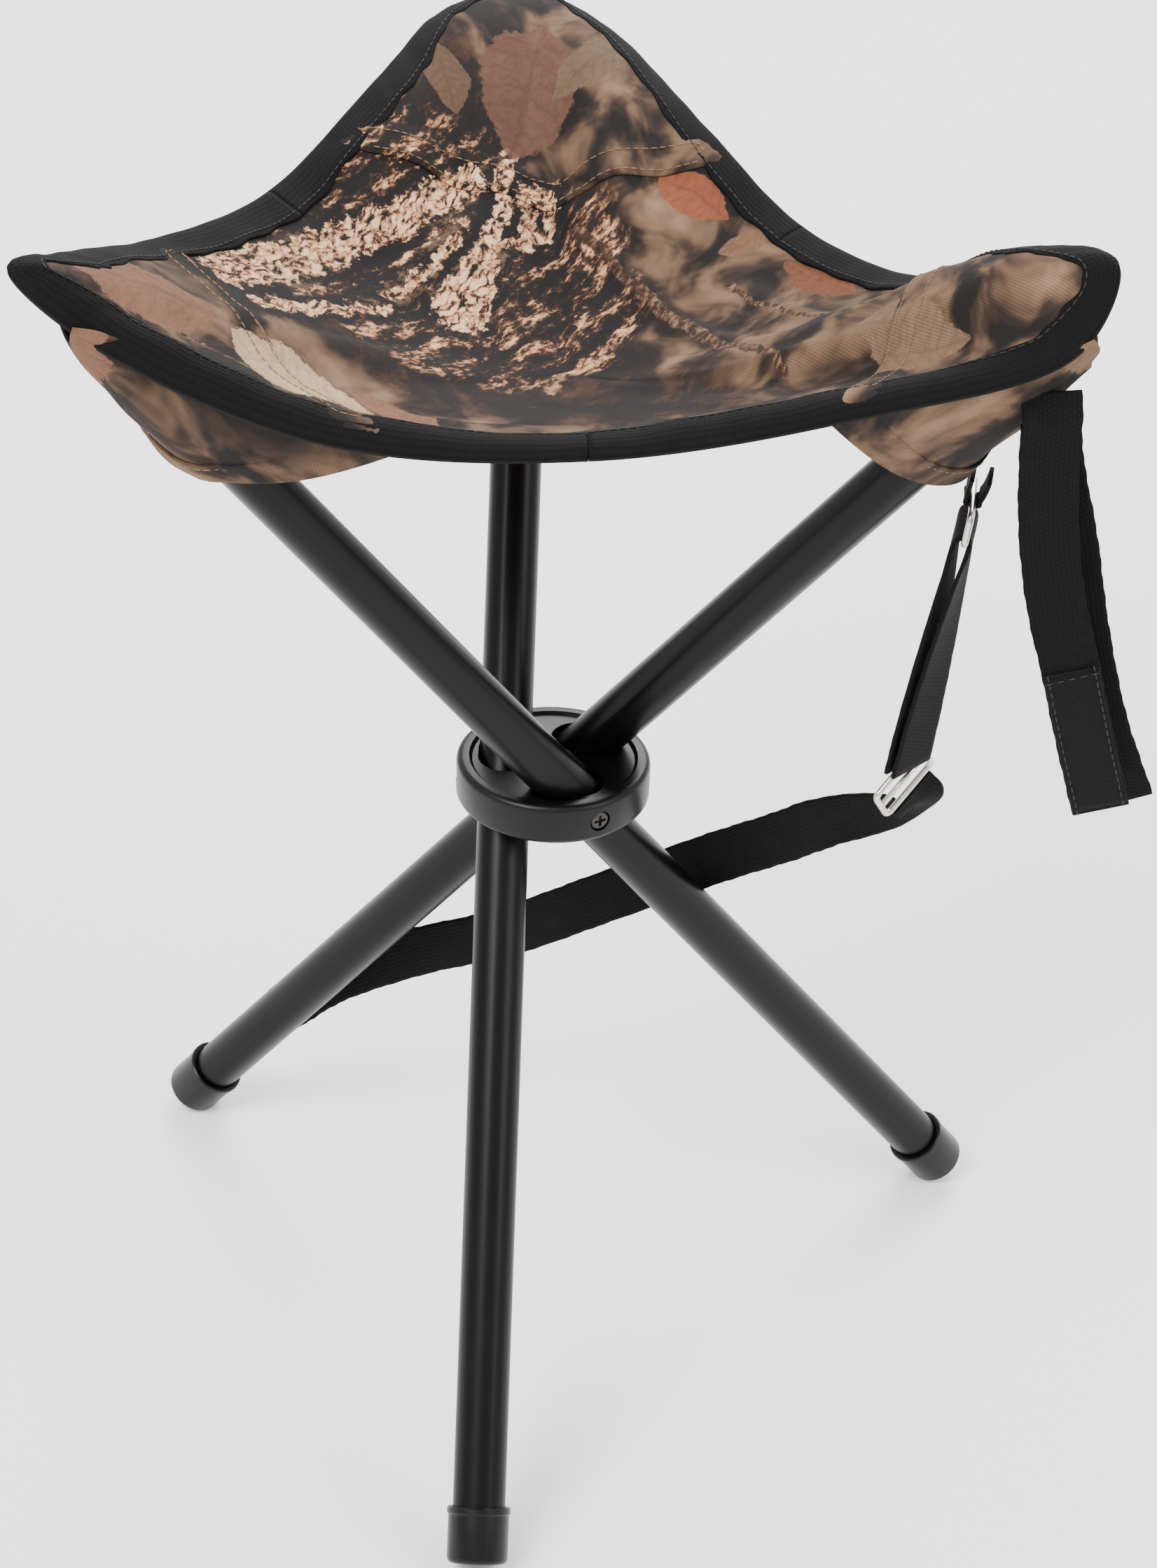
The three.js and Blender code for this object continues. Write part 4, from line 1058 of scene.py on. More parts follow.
@dataclass
class Seat:
    """The cloth seat: a centre panel, and at each corner a panel, a pocket and a run of binding."""

    shape: SeatShape
    legs: dict[str, Leg]
    finishes: Finishes
    stitches: GeometryTree
    cloth: float = 0.9 * MM
    tape_width: float = 12.5 * MM
    raw_edge: float = 3 * MM  # outline to the cloth's raw edge, inside the binding
    lap: float = 4 * MM  # centre panel under each corner panel
    hem: float = 11 * MM  # doubled cloth along a seam
    pocket_room: float = 3.6 * MM  # tube to pocket cloth
    per_place: int = 16

    @staticmethod
    def mouth(corner: str) -> float:
        """How far down its tube a corner's pocket reaches."""
        return {"a": 41, "b": 60, "c": 58}[corner] * MM

    @staticmethod
    def hem_ends(corner: str) -> np.ndarray:
        """Where the hem meets the binding, as shares of the way from the tip to the seam's ends."""
        return np.array({"a": (1.02, 0.72), "b": (0.78, 0.78), "c": (0.66, 1.0)}[corner])

    def corner_blend(self, corner: str) -> tuple[tuple[float, ...], tuple[float, ...]]:
        """From a corner's seam to its tube's tip: the seam's middle, and the point as far out from the seam
        as the tip.
        """
        start, end = self.shape.seam_line(corner)
        tip = self.legs[corner].at(LEG_ABOVE)
        middle = (start + end) / 2
        _, off = self.shape.beside_seam(corner, tip[:2] - self.shape.hub[:2])
        _, unit_off = self.shape.beside_seam(corner, middle + np.array([1.0, 0]))
        _, unit_off_y = self.shape.beside_seam(corner, middle + np.array([0, 1.0]))
        out = np.array([float(unit_off), float(unit_off_y), 0.0])
        first = np.array([*middle, 0.0]) + self.shape.hub
        return tuple(first), tuple(first + out * float(off))

    def follow(self, piece: bpy.types.Object, corner: str) -> None:
        """Works out the span from a corner's seam to its tube's tip, then bakes the piece's placement into
        its mesh.
        """
        start, end = self.corner_blend(corner)
        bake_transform(piece)

    def outer_share(self, place: np.ndarray) -> np.ndarray:
        """How far out the centre panel reaches."""
        share = self.shape.share_inside(place, self.raw_edge)
        around = len(self.shape.outline)
        for corner, (start, end) in self.shape.seam_at.items():
            inside = (place - start) % around < end - start
            sewn = np.minimum(share, self.shape.seam_share(corner, place, self.lap))
            share = np.where(inside, sewn, share)
        return share

    def centre_panel(self) -> bpy.types.Object:
        """The cloth between the three seams."""
        rounds, rings = len(self.shape.outline) * self.per_place, 52
        place = np.arange(rounds) / self.per_place
        share = self.outer_share(place)[None, :] * np.linspace(0, 1, rings + 1)[1:, None]
        places = np.broadcast_to(place, share.shape)
        points = np.vstack([self.shape.point(np.zeros(1), np.zeros(1)),
                            self.shape.point(places, share).reshape(-1, 3)])
        flat = np.vstack([np.zeros((1, 3)), self.shape.flat(places, share).reshape(-1, 3)])
        faces = [(0, 1 + (k + 1) % rounds, 1 + k) for k in range(rounds)]
        faces += [tuple(1 + n for n in face[::-1]) for face in grid_faces(rings, rounds, wrap_columns=True)]
        piece = mesh_object("seat_panel_cloth", points, faces, self.finishes[FinishName.CLOTH], flat)
        face_up(piece)
        thicken(piece, self.cloth)
        return piece

    def corner_grid(self, corner: str, rows: int = 40,
                    margin: float = 0.012) -> tuple[np.ndarray, np.ndarray]:
        """Places and shares over a corner panel, from its seam to its raw edge."""
        start, end = self.shape.seam_at[corner]
        trim = margin * (end - start)
        place = np.linspace(start + trim, end - trim, round((end - start) * self.per_place))
        seam = self.shape.seam_share(corner, place)
        raw = np.maximum(self.shape.share_inside(place, self.raw_edge), seam + 1e-3)
        share = seam[:, None] + (raw - seam)[:, None] * np.linspace(0, 1, rows)
        return np.broadcast_to(place[:, None], (len(place), rows)), share

    def lap_rise(self, corner: str, points: np.ndarray) -> np.ndarray:
        """How far a corner panel stands over the surface: doubled by its seam, resting past it."""
        _, off = self.shape.beside_seam(corner, points[..., :2] - self.shape.hub[:2])
        layers = 0.55 + 0.75 * (1 - smooth(off, self.hem * 0.85, self.hem * 1.25))
        return self.cloth * layers - 0.4 * self.cloth * (1 - smooth(off, 0, 1.4 * MM))

    def corner_panel(self, corner: str) -> bpy.types.Object:
        """A corner's cloth, lapped over the centre panel."""
        place, share = self.corner_grid(corner)
        points = self.shape.point(place, share)
        points = points + self.shape.normal(place, share) * self.lap_rise(corner, points)[..., None]
        flat = self.shape.flat(place, share) + np.array([0.004, 0.006, 0])
        piece = mesh_object(f"corner_panel_cloth_{corner}", points.reshape(-1, 3), grid_faces(*place.shape),
                            self.finishes[FinishName.CLOTH], flat.reshape(-1, 3))
        face_up(piece)
        thicken(piece, self.cloth)
        return piece

    def seam_rows(self, corner: str) -> list[np.ndarray]:
        """Two rows of stitches along a corner's seam."""
        start, end = self.shape.seam_at[corner]
        place = np.linspace(start + 0.25, end - 0.25, 90)
        rows = []
        for out in (1.9 * MM, self.hem * 0.86):
            share = np.minimum(self.shape.seam_share(corner, place, out),
                               self.shape.share_inside(place, 9 * MM))
            points = self.shape.point(place, share)
            rise = self.lap_rise(corner, points) + self.cloth * 0.5 + 0.12 * MM
            rows.append(points + self.shape.normal(place, share) * rise[..., None])
        return rows

    def tape(self, corner: str) -> bpy.types.Object:
        """The folded binding tape round a corner, from one mid-edge to the next."""
        start, end = self.shape.edges[corner]
        place = np.linspace(start + 0.001, end - 0.001, (end - start) * self.per_place * 2)
        half = [(12.6, 0.75), (12.35, 1.35), (11.6, 1.62), (9.4, 1.52), (6, 1.6), (3, 1.85),
                (1.4, 1.9), (0.4, 1.35)]
        section = np.array(half + [(0.0, 0.0)] + [(inset, -rise) for inset, rise in half[::-1]]) * MM
        wave = 1 + 0.035 * np.sin(place * 21) + 0.03 * np.sin(place * 9.3 + 1)
        pull = 1 + 0.10 * np.sin(place * 17 + 2) * np.sin(place * 5.1)
        inset = section[None, :, 0] * wave[:, None]
        share = self.shape.share_inside(place[:, None] + 0 * inset, inset)
        places = place[:, None] + 0 * inset
        rise = section[None, :, 1] * pull[:, None]
        rings = self.shape.point(places, share) + self.shape.normal(places, share) * rise[..., None]
        along = lengths_along(self.shape.rim(place))
        across = np.concatenate([[0], np.cumsum(np.linalg.norm(np.diff(section, axis=0), axis=1))])
        flat = np.stack(np.broadcast_arrays(along[:, None], across[None, :], 0.0), axis=-1)
        return sweep(f"edge_tape_{corner}", rings, self.finishes[FinishName.TAPE], flat)

    def tape_rows(self, corner: str) -> list[np.ndarray]:
        """The stitch rows that hold the tape, above and below."""
        start, end = self.shape.edges[corner]
        place = np.linspace(start + 0.03, end - 0.03, (end - start) * self.per_place * 2)
        share = self.shape.share_inside(place, 10.6 * MM)
        normal = self.shape.normal(place, share)
        return [self.shape.point(place, share) + normal * side * 1.72 * MM for side in (1, -1)]

    def pocket_point(self, corner: str, u: float, v: float, out: float = 0.0) -> np.ndarray:
        """A point of the pocket: u from its hem to its closed end, v from edge to edge."""
        leg, shape = self.legs[corner], self.shape
        tip = shape.corner_at[corner]
        near = self.hem_ends(corner) * (1 - u) + 0.30 * u
        places = tip + (np.array(shape.seam_at[corner]) - tip) * near
        share = shape.share_inside(places, self.tape_width * 0.36)
        edges = shape.point(places, share) - shape.normal(places, share) * (2.4 * MM + out)
        mouth = self.mouth(corner)
        along = LEG_ABOVE - mouth + (mouth + 9 * MM) * u
        room = TUBE_RADIUS + self.pocket_room + self.cloth + out
        slack = 0.7 * MM * math.sin(5 * math.pi * v) * (1 - u) + 0.5 * MM * math.sin(9 * u + 5 * v)
        low = leg.at(along, room + slack * (4 * v * (1 - v)))
        sag = (low - edges.mean(axis=0)) * 4 * v * (1 - v)
        point = edges[0] * (1 - v) + edges[1] * v + sag
        return self.clear_of(point, leg, room)

    @staticmethod
    def clear_of(point: np.ndarray, leg: Leg, distance: float) -> np.ndarray:
        """Moves a point below or beside a leg out to a distance from its axis."""
        foot = leg.pivot + leg.up * float((point - leg.pivot) @ leg.up)
        away = point - foot
        size = float(np.linalg.norm(away))
        if -float(away @ leg.under) > 0.5 * size or size > distance:
            return point
        return foot + away / size * distance

    def pocket_grid(self, corner: str, first: float, last: float, rows: int, out: float) -> np.ndarray:
        """Rows of pocket points between two values of u."""
        return np.array([[self.pocket_point(corner, u, v, out) for v in np.linspace(0, 1, 41)]
                         for u in np.linspace(first, last, rows)])

    def pocket_sheet(self, name: str, corner: str, grid: np.ndarray) -> bpy.types.Object:
        """A sheet of pocket cloth over a grid of points."""
        over = np.cumsum(np.linalg.norm(np.diff(grid, axis=1, prepend=grid[:, :1]), axis=-1), axis=1)
        over = over - over[:, -1:] / 2
        down = np.broadcast_to(lengths_along(grid[:, grid.shape[1] // 2])[:, None], over.shape)
        shift = {"a": (-0.13, -0.15), "b": (-0.02, 0.16), "c": (0.09, -0.12)}[corner]
        flat = np.stack([over + shift[0], down + shift[1], 0 * over], axis=-1)
        piece = mesh_object(name, grid.reshape(-1, 3), grid_faces(*grid.shape[:2]),
                            self.finishes[FinishName.CLOTH], flat.reshape(-1, 3))
        face_away(piece, self.legs[corner].at(LEG_ABOVE - 20 * MM))
        thicken(piece, self.cloth)
        return piece

    def pocket_blend(self, piece: bpy.types.Object, corner: str) -> None:
        """Works out a slope along the pocket's tube, then bakes the pocket piece's placement into its mesh.
        """
        leg = self.legs[corner]
        slope = leg.up * (0.45 / (77 * MM)) + leg.under * (0.55 / (33 * MM))
        at = leg.at(LEG_ABOVE - 68 * MM, -20 * MM)
        start = at - slope / (slope @ slope) * 0.45
        end = start + slope / (slope @ slope)
        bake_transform(piece)

    def pocket(self, corner: str) -> list[bpy.types.Object]:
        """A corner's pocket, its turned-up hem and the hem's stitches."""
        whole = self.pocket_grid(corner, 0, 1, 44, 0.0)
        long = float(np.linalg.norm(whole[-1, 20] - whole[0, 20]))
        share = 9 * MM / long
        hem = self.pocket_grid(corner, -0.004, share, 8, self.cloth + 0.15 * MM)
        row = self.pocket_grid(corner, share * 0.8, share, 2, 1.7 * self.cloth)[0, 1:-1]
        pieces = [self.pocket_sheet(f"corner_pocket_cloth_{corner}", corner, whole),
                  self.pocket_sheet(f"pocket_hem_{corner}", corner, hem),
                  stitched(f"pocket_stitches_{corner}", [row], self.stitches,
                           self.finishes[FinishName.TAN_THREAD])]
        for piece in pieces:
            self.pocket_blend(piece, corner)
        return pieces

    def flat_size(self, piece: bpy.types.Object) -> tuple[tuple[float, float], float]:
        """The width, length and area of the cloth that a sheet was cut from."""
        count = len(piece.data.vertices)
        co, flat = np.zeros(count * 3, np.float32), np.zeros(count * 3, np.float32)
        piece.data.vertices.foreach_get("co", co)
        piece.data.attributes[FLAT].data.foreach_get("vector", flat)
        co, flat = co.reshape(-1, 3), flat.reshape(-1, 3)
        piece.data.calc_loop_triangles()
        tri = np.array([t.vertices[:] for t in piece.data.loop_triangles])
        turned = np.cross(co[tri[:, 1]] - co[tri[:, 0]], co[tri[:, 2]] - co[tri[:, 0]])
        area = float(np.linalg.norm(turned, axis=1).sum() / 2)
        width, length = (float(s) for s in np.ptp(flat[:, :2], axis=0))
        return (round(width, 3), round(length, 3)), min(area, width * length * 0.999)

    def declare(self, piece: bpy.types.Object) -> None:
        """Logs the size and area of the cloth that a sheet was cut from."""
        size, area = self.flat_size(piece)
        log.info("%s: cut from %.0f by %.0f mm, %.0f cm2", piece.name, size[0] / MM, size[1] / MM,
                 area * 1e4)

    def build(self) -> None:
        """Makes the seat, hides the CAD seat parts it replaces, and sets the centre panel to ride on the
        hub.
        """
        panel = self.centre_panel()
        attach(panel, "hub")
        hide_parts("seat_panel")
        self.declare(panel)
        for corner in sorted(self.legs):
            cloth, tape = self.corner_panel(corner), self.tape(corner)
            seams = stitched(f"seam_stitches_{corner}", self.seam_rows(corner), self.stitches,
                             self.finishes[FinishName.TAN_THREAD])
            rows = stitched(f"tape_stitches_{corner}", self.tape_rows(corner), self.stitches,
                            self.finishes[FinishName.BLACK_THREAD])
            for piece in (cloth, tape, seams, rows):
                self.follow(piece, corner)
            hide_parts(f"corner_panel_{corner}")
            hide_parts(f"edge_binding_{corner}")
            pocket, hem, hem_rows = self.pocket(corner)
            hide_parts(f"corner_pocket_{corner}")
            self.declare(cloth)
            self.declare(pocket)


def face_up(piece: bpy.types.Object) -> None:
    """Turns a sheet's faces upwards."""
    normals = np.zeros(len(piece.data.polygons) * 3, np.float32)
    piece.data.polygons.foreach_get("normal", normals)
    if normals[2::3].sum() < 0:
        piece.data.flip_normals()


def face_away(piece: bpy.types.Object, middle: np.ndarray) -> None:
    """Turns a sheet's faces away from a point."""
    outwards = sum(polygon.normal.dot(polygon.center - Vector(middle)) for polygon in piece.data.polygons)
    if outwards < 0:
        piece.data.flip_normals()


# ---------------------------------------------------------------- webbing and wire
WEBBING_WIDTH = 20 * MM
WEBBING_THICKNESS = 1.5 * MM
WIRE = 2.4 * MM


def ribbon(name: str, line: np.ndarray, across: np.ndarray, width: float, thickness: float,
           material: bpy.types.Material) -> bpy.types.Object:
    """A flat tape along a line.

    Args:
        name: The piece's name.
        line: Points of its middle.
        across: For each point, the direction across the tape.
        width: Its width.
        thickness: Its thickness.
        material: Its finish.

    Returns:
        A closed solid with flat coordinates along and across the tape.
    """
    forward = unit(np.gradient(line, axis=0))
    side = unit(across - (across * forward).sum(-1, keepdims=True) * forward)
    face = np.cross(forward, side)
    wide = [0.5, 0.49, 0.42, 0.25, 0.0, -0.25, -0.42, -0.49, -0.5]
    high = [0.22, 0.46, 0.5, 0.48, 0.5, 0.48, 0.5, 0.46, 0.22]
    section = np.array(list(zip(wide, high)) + [(a, -b) for a, b in zip(wide[::-1], high[::-1])])
    along = lengths_along(line)
    edge = 1 + 0.012 * np.sin(along * 900) + 0.01 * np.sin(along * 373)
    rings = (line[:, None] + side[:, None] * (section[None, :, :1] * width * edge[:, None, None])
             + face[:, None] * section[None, :, 1:] * thickness)
    flat = np.stack(np.broadcast_arrays(along[:, None], section[None, :, 0] * width,
                                        section[None, :, 1] * thickness),
                    axis=-1)
    return sweep(name, rings, material, flat)


def wire_loop(name: str, centre: np.ndarray, across: np.ndarray, down: np.ndarray, size: tuple[float, float],
              material: bpy.types.Material) -> bpy.types.Object:
    """A rounded rectangle of round wire.

    Args:
        name: The piece's name.
        centre: Its middle.
        across: The direction of its width.
        down: The direction of its height.
        size: Its outer width and height.
        material: Its finish.

    Returns:
        A closed ring.
    """
    x = unit(across)
    z = unit(np.cross(x, down))
    y = np.cross(z, x)
    radius = WIRE * 1.1
    half_w, half_h = size[0] / 2 - WIRE / 2 - radius, size[1] / 2 - WIRE / 2 - radius
    line = []
    for quarter, (sx, sy) in enumerate(((1, 1), (-1, 1), (-1, -1), (1, -1))):
        for step in range(7):
            turn = (quarter + step / 6) * math.pi / 2
            line.append((sx * half_w + radius * math.cos(turn), sy * half_h + radius * math.sin(turn)))
    flat = np.array(line)
    points = centre + flat[:, :1] * x + flat[:, 1:] * y
    forward = unit(np.roll(points, -1, axis=0) - np.roll(points, 1, axis=0))
    side = unit(np.cross(forward, z))
    turns = np.linspace(0, 2 * math.pi, WIRE_SIDES, endpoint=False)
    ring = (side[:, None] * np.cos(turns)[None, :, None] + z * np.sin(turns)[None, :, None]) * (WIRE / 2)
    return sweep(name, points[:, None] + ring, material, closed=True)


def rod(name: str, start: np.ndarray, end: np.ndarray, radius: float,
        material: bpy.types.Material) -> bpy.types.Object:
    """A round bar between two points."""
    forward = unit(end - start)
    side = unit(np.cross(forward, (0.3, 0.2, 0.93)))
    turns = np.linspace(0, 2 * math.pi, WIRE_SIDES, endpoint=False)
    ring = (side * np.cos(turns)[:, None] + np.cross(forward, side) * np.sin(turns)[:, None]) * radius
    return sweep(name, np.array([start, end])[:, None] + ring, material)


@dataclass
class CarryStrap:
    """The carry strap on leg C: ring, doubled webbing, slider and the long lower run."""

    leg: Leg
    finishes: Finishes
    ring_height: float = 15 * MM
    slider_height: float = 19 * MM
    rivet_along: float = -213 * MM
    strap_tail: float = 11 * MM
    gap: float = 0.9 * MM

    def __post_init__(self) -> None:
        """Places the ring and the slider by the leg."""
        self.ring_across = unit(np.array([0.1, 1, 0.1]))
        self.slider_across = unit(np.array([0.62, 0.5, 0.6]))
        self.anchor = self.leg.at(217 * MM, 19 * MM, 8 * MM)
        self.ring = self.leg.at(199 * MM, 26 * MM, 12.4 * MM)
        self.slider = self.leg.at(94 * MM, 84 * MM, 18.4 * MM)
        self.down = unit(self.slider - self.ring)
        self.frame_width = WEBBING_WIDTH + 2 * (WIRE + self.gap)

    def looped(self, name: str, start: np.ndarray, bar: np.ndarray, across: tuple[np.ndarray, np.ndarray],
               width: float, apart: float) -> bpy.types.Object:
        """Webbing that runs to a bar, round it and back.

        Args:
            name: The piece's name.
            start: Between its two ends.
            bar: The middle of the bar.
            across: The direction across it, at the start and at the bar.
            width: Its width.
            apart: The gap between its two runs at the start.

        Returns:
            The webbing.
        """
        turn = (WIRE + WEBBING_THICKNESS) / 2 + 0.45 * MM
        forward = unit(bar - start)

        def across_at(t: float) -> np.ndarray:
            """The direction across the webbing at a share of the way."""
            return unit(across[0] + (across[1] - across[0]) * smooth(t))

        def run(t: float, side: int) -> np.ndarray:
            """A point of one of the two runs."""
            spread = apart / 2 + (turn - apart / 2) * smooth(t, 0.4, 0.95)
            return start + (bar - start) * t + unit(np.cross(across_at(t), forward)) * side * spread

        stops = [0, 0.3, 0.6, 0.85, 1]
        points = [run(t, 1) for t in stops] + [bar + forward * turn] + [run(t, -1) for t in stops[::-1]]
        share = np.linspace(0, 1, TAIL_POINTS)
        line = open_curve(np.array(points), share)
        wide = np.array([across_at(1 - abs(2 * u - 1)) for u in share])
        return ribbon(name, line, wide, width, WEBBING_THICKNESS, self.finishes[FinishName.WEBBING])

    def lower_run(self) -> bpy.types.Object:
        """The long run from the slider to the rivet low on the leg."""
        clear = self.slider_height / 2 + 0.3 * MM
        down = unit(self.down - self.slider_across * (self.down @ self.slider_across))
        on_tube = TUBE_RADIUS + 0.3 * MM + WEBBING_THICKNESS / 2
        near = [self.slider + down * far for far in (clear + WEBBING_THICKNESS, clear + WEBBING_WIDTH * 0.6)]
        free = [(50, 79, 23), (25, 73, 26), (-10, 63.6, 29.4), (-62, 48.6, 25.4), (-110, 34, 20),
                (-150, 17, 14.5)]
        route = near + [self.leg.at(*(np.array(point) * MM)) for point in free]
        route += [self.leg.at(self.rivet_along + 2 * self.strap_tail, 4 * MM, on_tube),
                  self.leg.at(self.rivet_along, 1 * MM, on_tube),
                  self.leg.at(self.rivet_along - self.strap_tail, 0, on_tube)]
        share = np.linspace(0, 1, STRAP_POINTS)
        line = open_curve(np.array(route), share)
        level = unit(np.cross(np.gradient(line, axis=0), self.leg.radial))
        across = unit(self.slider_across + (level - self.slider_across) * smooth(share, 0, 0.25)[:, None])
        return ribbon("carry_webbing_lower", line, across, WEBBING_WIDTH, WEBBING_THICKNESS,
                      self.finishes[FinishName.WEBBING])

    def build(self) -> None:
        """Makes the strap's pieces, which ride on the leg."""
        half = (self.ring_height - WIRE) / 2
        nickel = self.finishes[FinishName.NICKEL]
        ring = wire_loop("strap_ring_wire", self.ring, self.ring_across, self.down,
                         (self.frame_width, self.ring_height), nickel)
        tab = self.looped("ring_tab_webbing", self.anchor, self.ring - self.down * half,
                          (self.ring_across, self.ring_across), 8 * MM, 6 * MM)
        slider_size = (self.frame_width + 1 * MM, self.slider_height)
        rim = wire_loop("slider_rim", self.slider, self.slider_across, self.down, slider_size, nickel)
        reach = unit(self.slider_across) * (slider_size[0] / 2 - WIRE / 2)
        bar = rod("slider_bar", self.slider - reach, self.slider + reach, WIRE * 0.46, nickel)
        slider = join("strap_slider_wire", [rim, bar])
        upper = self.looped("carry_webbing_upper",
                            self.slider - self.down * (self.slider_height / 2 - 3 * MM),
                            self.ring + self.down * half, (self.slider_across, self.ring_across),
                            WEBBING_WIDTH, 3.4 * MM)
        lower = self.lower_run()
        for piece, node, slot in ((ring, "strap_ring", "nickel_wire"), (tab, "ring_tab", "webbing"),
                                  (slider, "strap_slider", "nickel_wire"),
                                  (upper, "carry_strap_upper", "webbing"),
                                  (lower, "carry_strap_lower", "webbing")):
            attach(piece, self.leg.body)
            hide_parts(node)
            log.info("%s made", piece.name)


@dataclass
class ClosureTails:
    """The two webbing tails at the strap's corner, each with a pile patch at its end."""

    leg: Leg
    finishes: Finishes
    stitches: GeometryTree
    patch_length: float = 60 * MM
    patch_thickness: float = 1.2 * MM
    front: tuple = ((3, -12, -10), (4, -14, -18.5), (4, -15, -30), (6, -16.5, -59), (11, -17, -87),
                    (18, -17, -112), (26, -16, -142), (34, -14, -170))
    rear: tuple = ((4, -10, -22), (7, -8, -40), (14, -7, -68), (21, -6, -102), (31, -4, -140),
                   (44, 0, -175))

    def tail(self, name: str, points: Sequence[Sequence[float]], side: int) -> None:
        """Makes one tail, its patch and the patch's stitches."""
        tip = self.leg.at(LEG_ABOVE)
        route = tip + np.array(points) * MM
        across = unit(np.array([0.95, 0, 0.31]))
        share = np.linspace(0, 1, TAIL_POINTS)
        line = open_curve(route, share)
        webbing = ribbon(f"closure_webbing_{name}", line, np.tile(across, (len(line), 1)), WEBBING_WIDTH,
                         WEBBING_THICKNESS, self.finishes[FinishName.WEBBING])
        along = lengths_along(line)
        covered = (along > along[-1] - self.patch_length) & (along < along[-1] - 1 * MM)
        lift = np.array([0, side * ((WEBBING_THICKNESS + self.patch_thickness) / 2 + 0.1 * MM), 0])
        under = line[covered] + lift
        patch = ribbon(f"grip_pile_{name}", under, np.tile(across, (len(under), 1)), WEBBING_WIDTH - 1 * MM,
                       self.patch_thickness, self.finishes[FinishName.PILE])
        out = lift / np.linalg.norm(lift) * (self.patch_thickness / 2 + 0.15 * MM)
        inset = across * (WEBBING_WIDTH / 2 - 2 * MM)
        end_row = np.linspace(under[1] + out - inset, under[1] + out + inset, PATCH_END_POINTS)
        rows = [under + out + inset, under + out - inset, end_row]
        thread = stitched(f"patch_stitches_{name}", rows, self.stitches,
                          self.finishes[FinishName.BLACK_THREAD])
        for piece in (webbing, patch, thread):
            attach(piece, self.leg.body)
        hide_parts(f"closure_tail_{name}")
        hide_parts(f"grip_patch_{name}")

    def build(self) -> None:
        """Makes both tails."""
        self.tail("front", self.front, -1)
        self.tail("rear", self.rear, 1)


# ---------------------------------------------------------------- carried-over metal and plastic
@dataclass
class HardParts:
    """The CAD pieces that stay: they get their finish and soft shading over their edges."""

    finishes: Finishes
    crease: float = 32.0

    def shading_tree(self) -> bpy.types.GeometryNodeTree:
        """Joins loose faces and shades them smooth, but not across sharp edges."""
        made = GeometryTree("smooth_shading", {"Crease": math.radians(self.crease)})
        whole = made.add("GeometryNodeMergeByDistance",
                         inputs={"Geometry": made.given["Geometry"], "Distance": 0.002 * MM})
        smoothed = made.add("GeometryNodeSetShadeSmooth", {"domain": "FACE"}, {0: whole.outputs[0]})
        angle = made.add("GeometryNodeInputMeshEdgeAngle")
        sharp = made.add("FunctionNodeCompare", {"operation": "GREATER_THAN"},
                         {0: angle.outputs[0], 1: made.given["Crease"]})
        creased = made.add("GeometryNodeSetShadeSmooth", {"domain": "EDGE"},
                           {0: smoothed.outputs[0], 1: sharp.outputs[0], 2: False})
        made.end(creased.outputs[0])
        return made

    def build(self) -> None:
        """Dresses every CAD node that stays in view."""
        tree = self.shading_tree()
        for name, node in frame["nodes"].items():
            if node.hide_render:
                continue
            material = self.finishes[self.finish_of(name)]
            node.data.materials.clear()
            node.data.materials.append(material)
            modifier = node.modifiers.new("smooth_shading", "NODES")
            modifier.node_group = tree.tree
            for socket in tree.tree.interface.items_tree:
                if socket.in_out == "INPUT" and socket.name == "Material":
                    modifier[socket.identifier] = material

    @staticmethod
    def finish_of(name: str) -> FinishName:
        """The finish of a CAD node, by its name."""
        starts = {"hub": FinishName.HUB, "leg_tube": FinishName.LEG, "foot_cap": FinishName.CAP,
                  "end_plug": FinishName.CAP, "pivot_screw": FinishName.SCREW,
                  "strap_rivet": FinishName.NICKEL}
        return next(finish for start, finish in starts.items() if name.startswith(start))


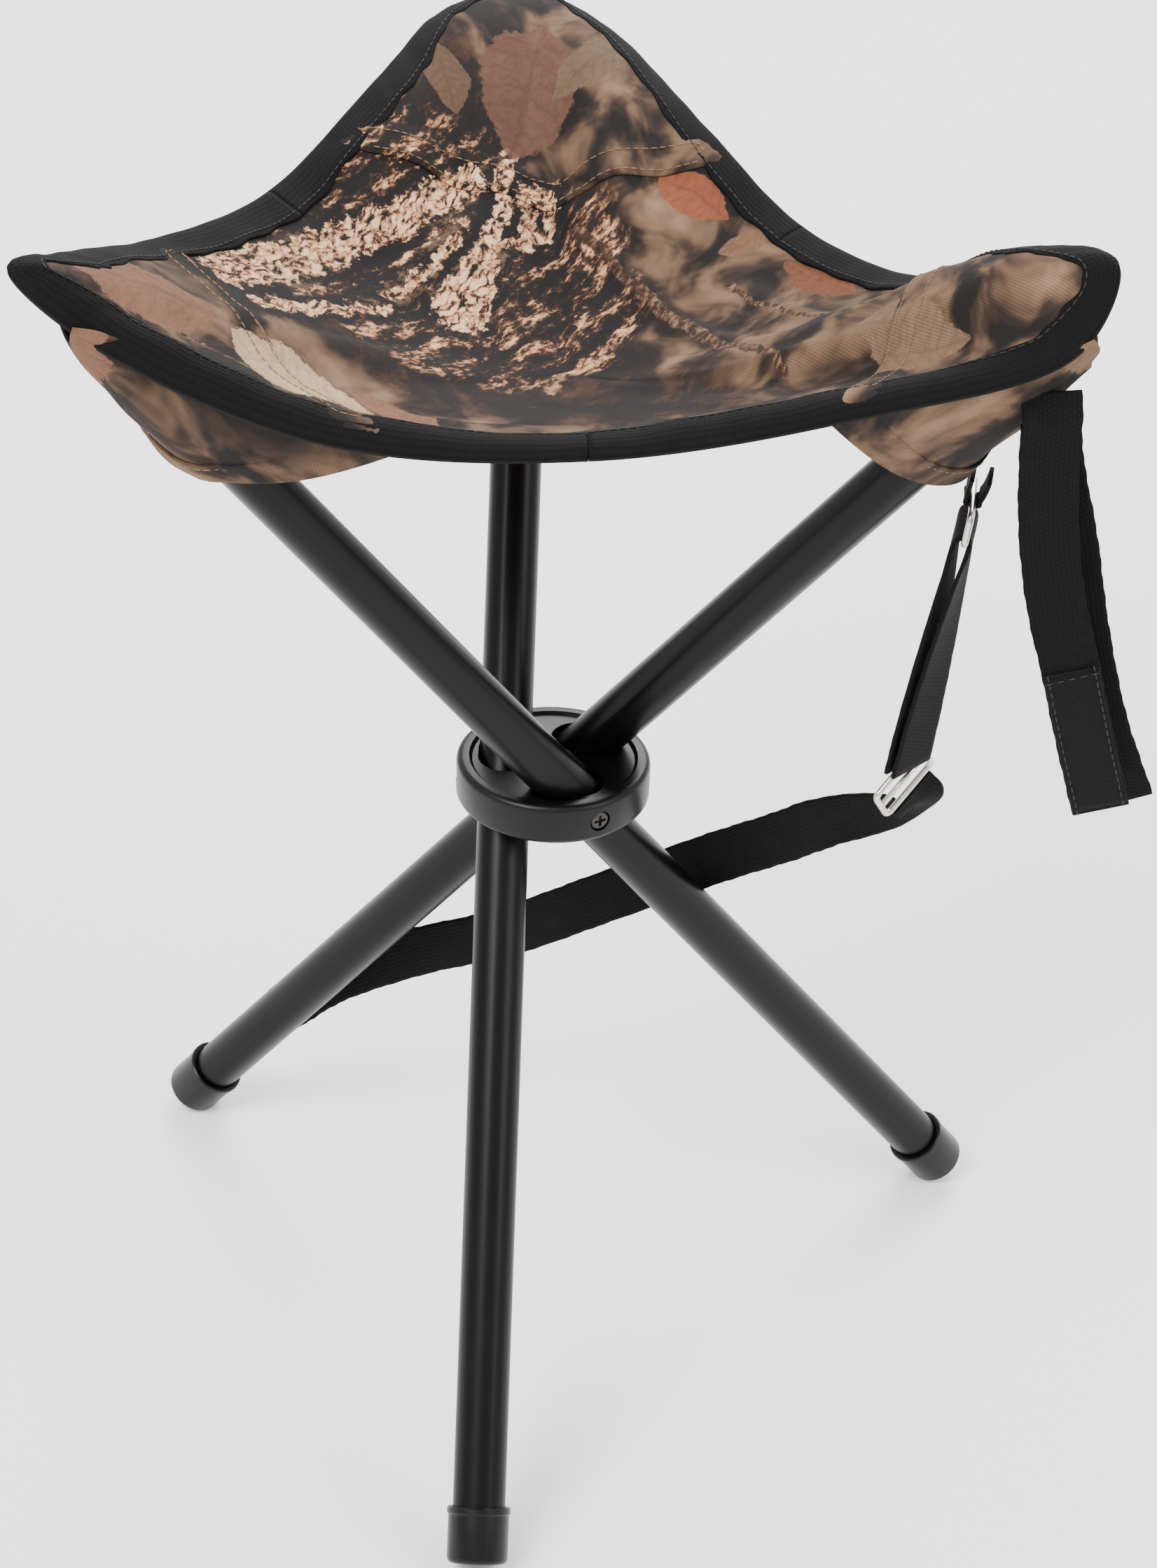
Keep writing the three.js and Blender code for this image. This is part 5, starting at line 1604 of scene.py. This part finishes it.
# ---------------------------------------------------------------- studio
@dataclass
class Studio:
    """A pale floor, soft light and the camera."""

    hub: np.ndarray
    elevation: float = 32.6  # degrees above the horizon
    distance: float = 1.6653
    aim: tuple[float, float] = (9.47 * MM, -3.4 * MM)  # right of and above the hub's centre, in the view
    lens: float = 104.45
    roll: float = 2.178
    floor_size: float = 14.0

    def build(self) -> None:
        """Makes the stage."""
        self.camera()
        self.floor()
        world = bpy.data.worlds.new("studio")
        bpy.context.scene.world = world
        world.use_nodes = True
        world.node_tree.nodes["Background"].inputs["Color"].default_value = (1, 1, 1, 1)
        world.node_tree.nodes["Background"].inputs["Strength"].default_value = 1.35
        self.lamp("key", (-1.1, -1.3, 1.9), 1.3, 90)
        self.lamp("fill", (1.7, -0.9, 1.2), 1.2, 26)
        self.lamp("back", (0.3, 1.7, 1.5), 1.4, 60)

    def camera(self) -> None:
        """The scene's camera."""
        e = math.radians(self.elevation)
        place = self.hub + self.distance * np.array([0, -math.cos(e), math.sin(e)])
        target = self.hub + np.array([self.aim[0], self.aim[1] * math.sin(e), self.aim[1] * math.cos(e)])
        forward = unit(target - place)
        right = unit(np.cross(forward, (0, 0, 1)))
        up = np.cross(right, forward)
        c, s = math.cos(math.radians(self.roll)), math.sin(math.radians(self.roll))
        right, up = right * c + up * s, up * c - right * s
        data = bpy.data.cameras.new("camera")
        data.lens, data.sensor_width = self.lens, 36
        data.clip_start, data.clip_end = 0.05, 50
        camera = bpy.data.objects.new("camera", data)
        axes = Matrix((right, up, -forward)).transposed().to_4x4()
        axes.translation = Vector(place)
        camera.matrix_world = axes
        bpy.context.scene.collection.objects.link(camera)
        bpy.context.scene.camera = camera

    def floor(self) -> None:
        """A plain pale floor."""
        tree = NodeTree("pale_floor")
        tree.set(Base_Color=(0.92, 0.92, 0.92), Roughness=0.8)
        half = self.floor_size / 2
        corners = np.array([(-half, -half, 0), (half, -half, 0), (half, half, 0), (-half, half, 0)])
        mesh_object("floor", corners, [(0, 1, 2, 3)], tree.material)

    def lamp(self, name: str, place: Sequence[float], size: float, power: float) -> None:
        """A square soft lamp aimed at the hub."""
        data = bpy.data.lights.new(name, "AREA")
        data.size, data.energy = size, power
        lamp = bpy.data.objects.new(name, data)
        lamp.location = Vector(self.hub) + Vector(place)
        lamp.rotation_euler = (Vector(self.hub) - lamp.location).to_track_quat("-Z", "Y").to_euler()
        bpy.context.scene.collection.objects.link(lamp)


def main() -> None:
    """Builds the stool round its frame."""
    logging.basicConfig(level=logging.INFO, format="%(message)s")
    legs, hub = read_legs(), hub_centre()
    finishes, stitches = make_finishes(), stitch_tree()
    Studio(hub).build()
    Seat(SeatShape(hub, legs["a"]), legs, finishes, stitches).build()
    CarryStrap(legs["c"], finishes).build()
    ClosureTails(legs["c"], finishes, stitches).build()
    HardParts(finishes).build()


if __name__ == "__main__":
    main()
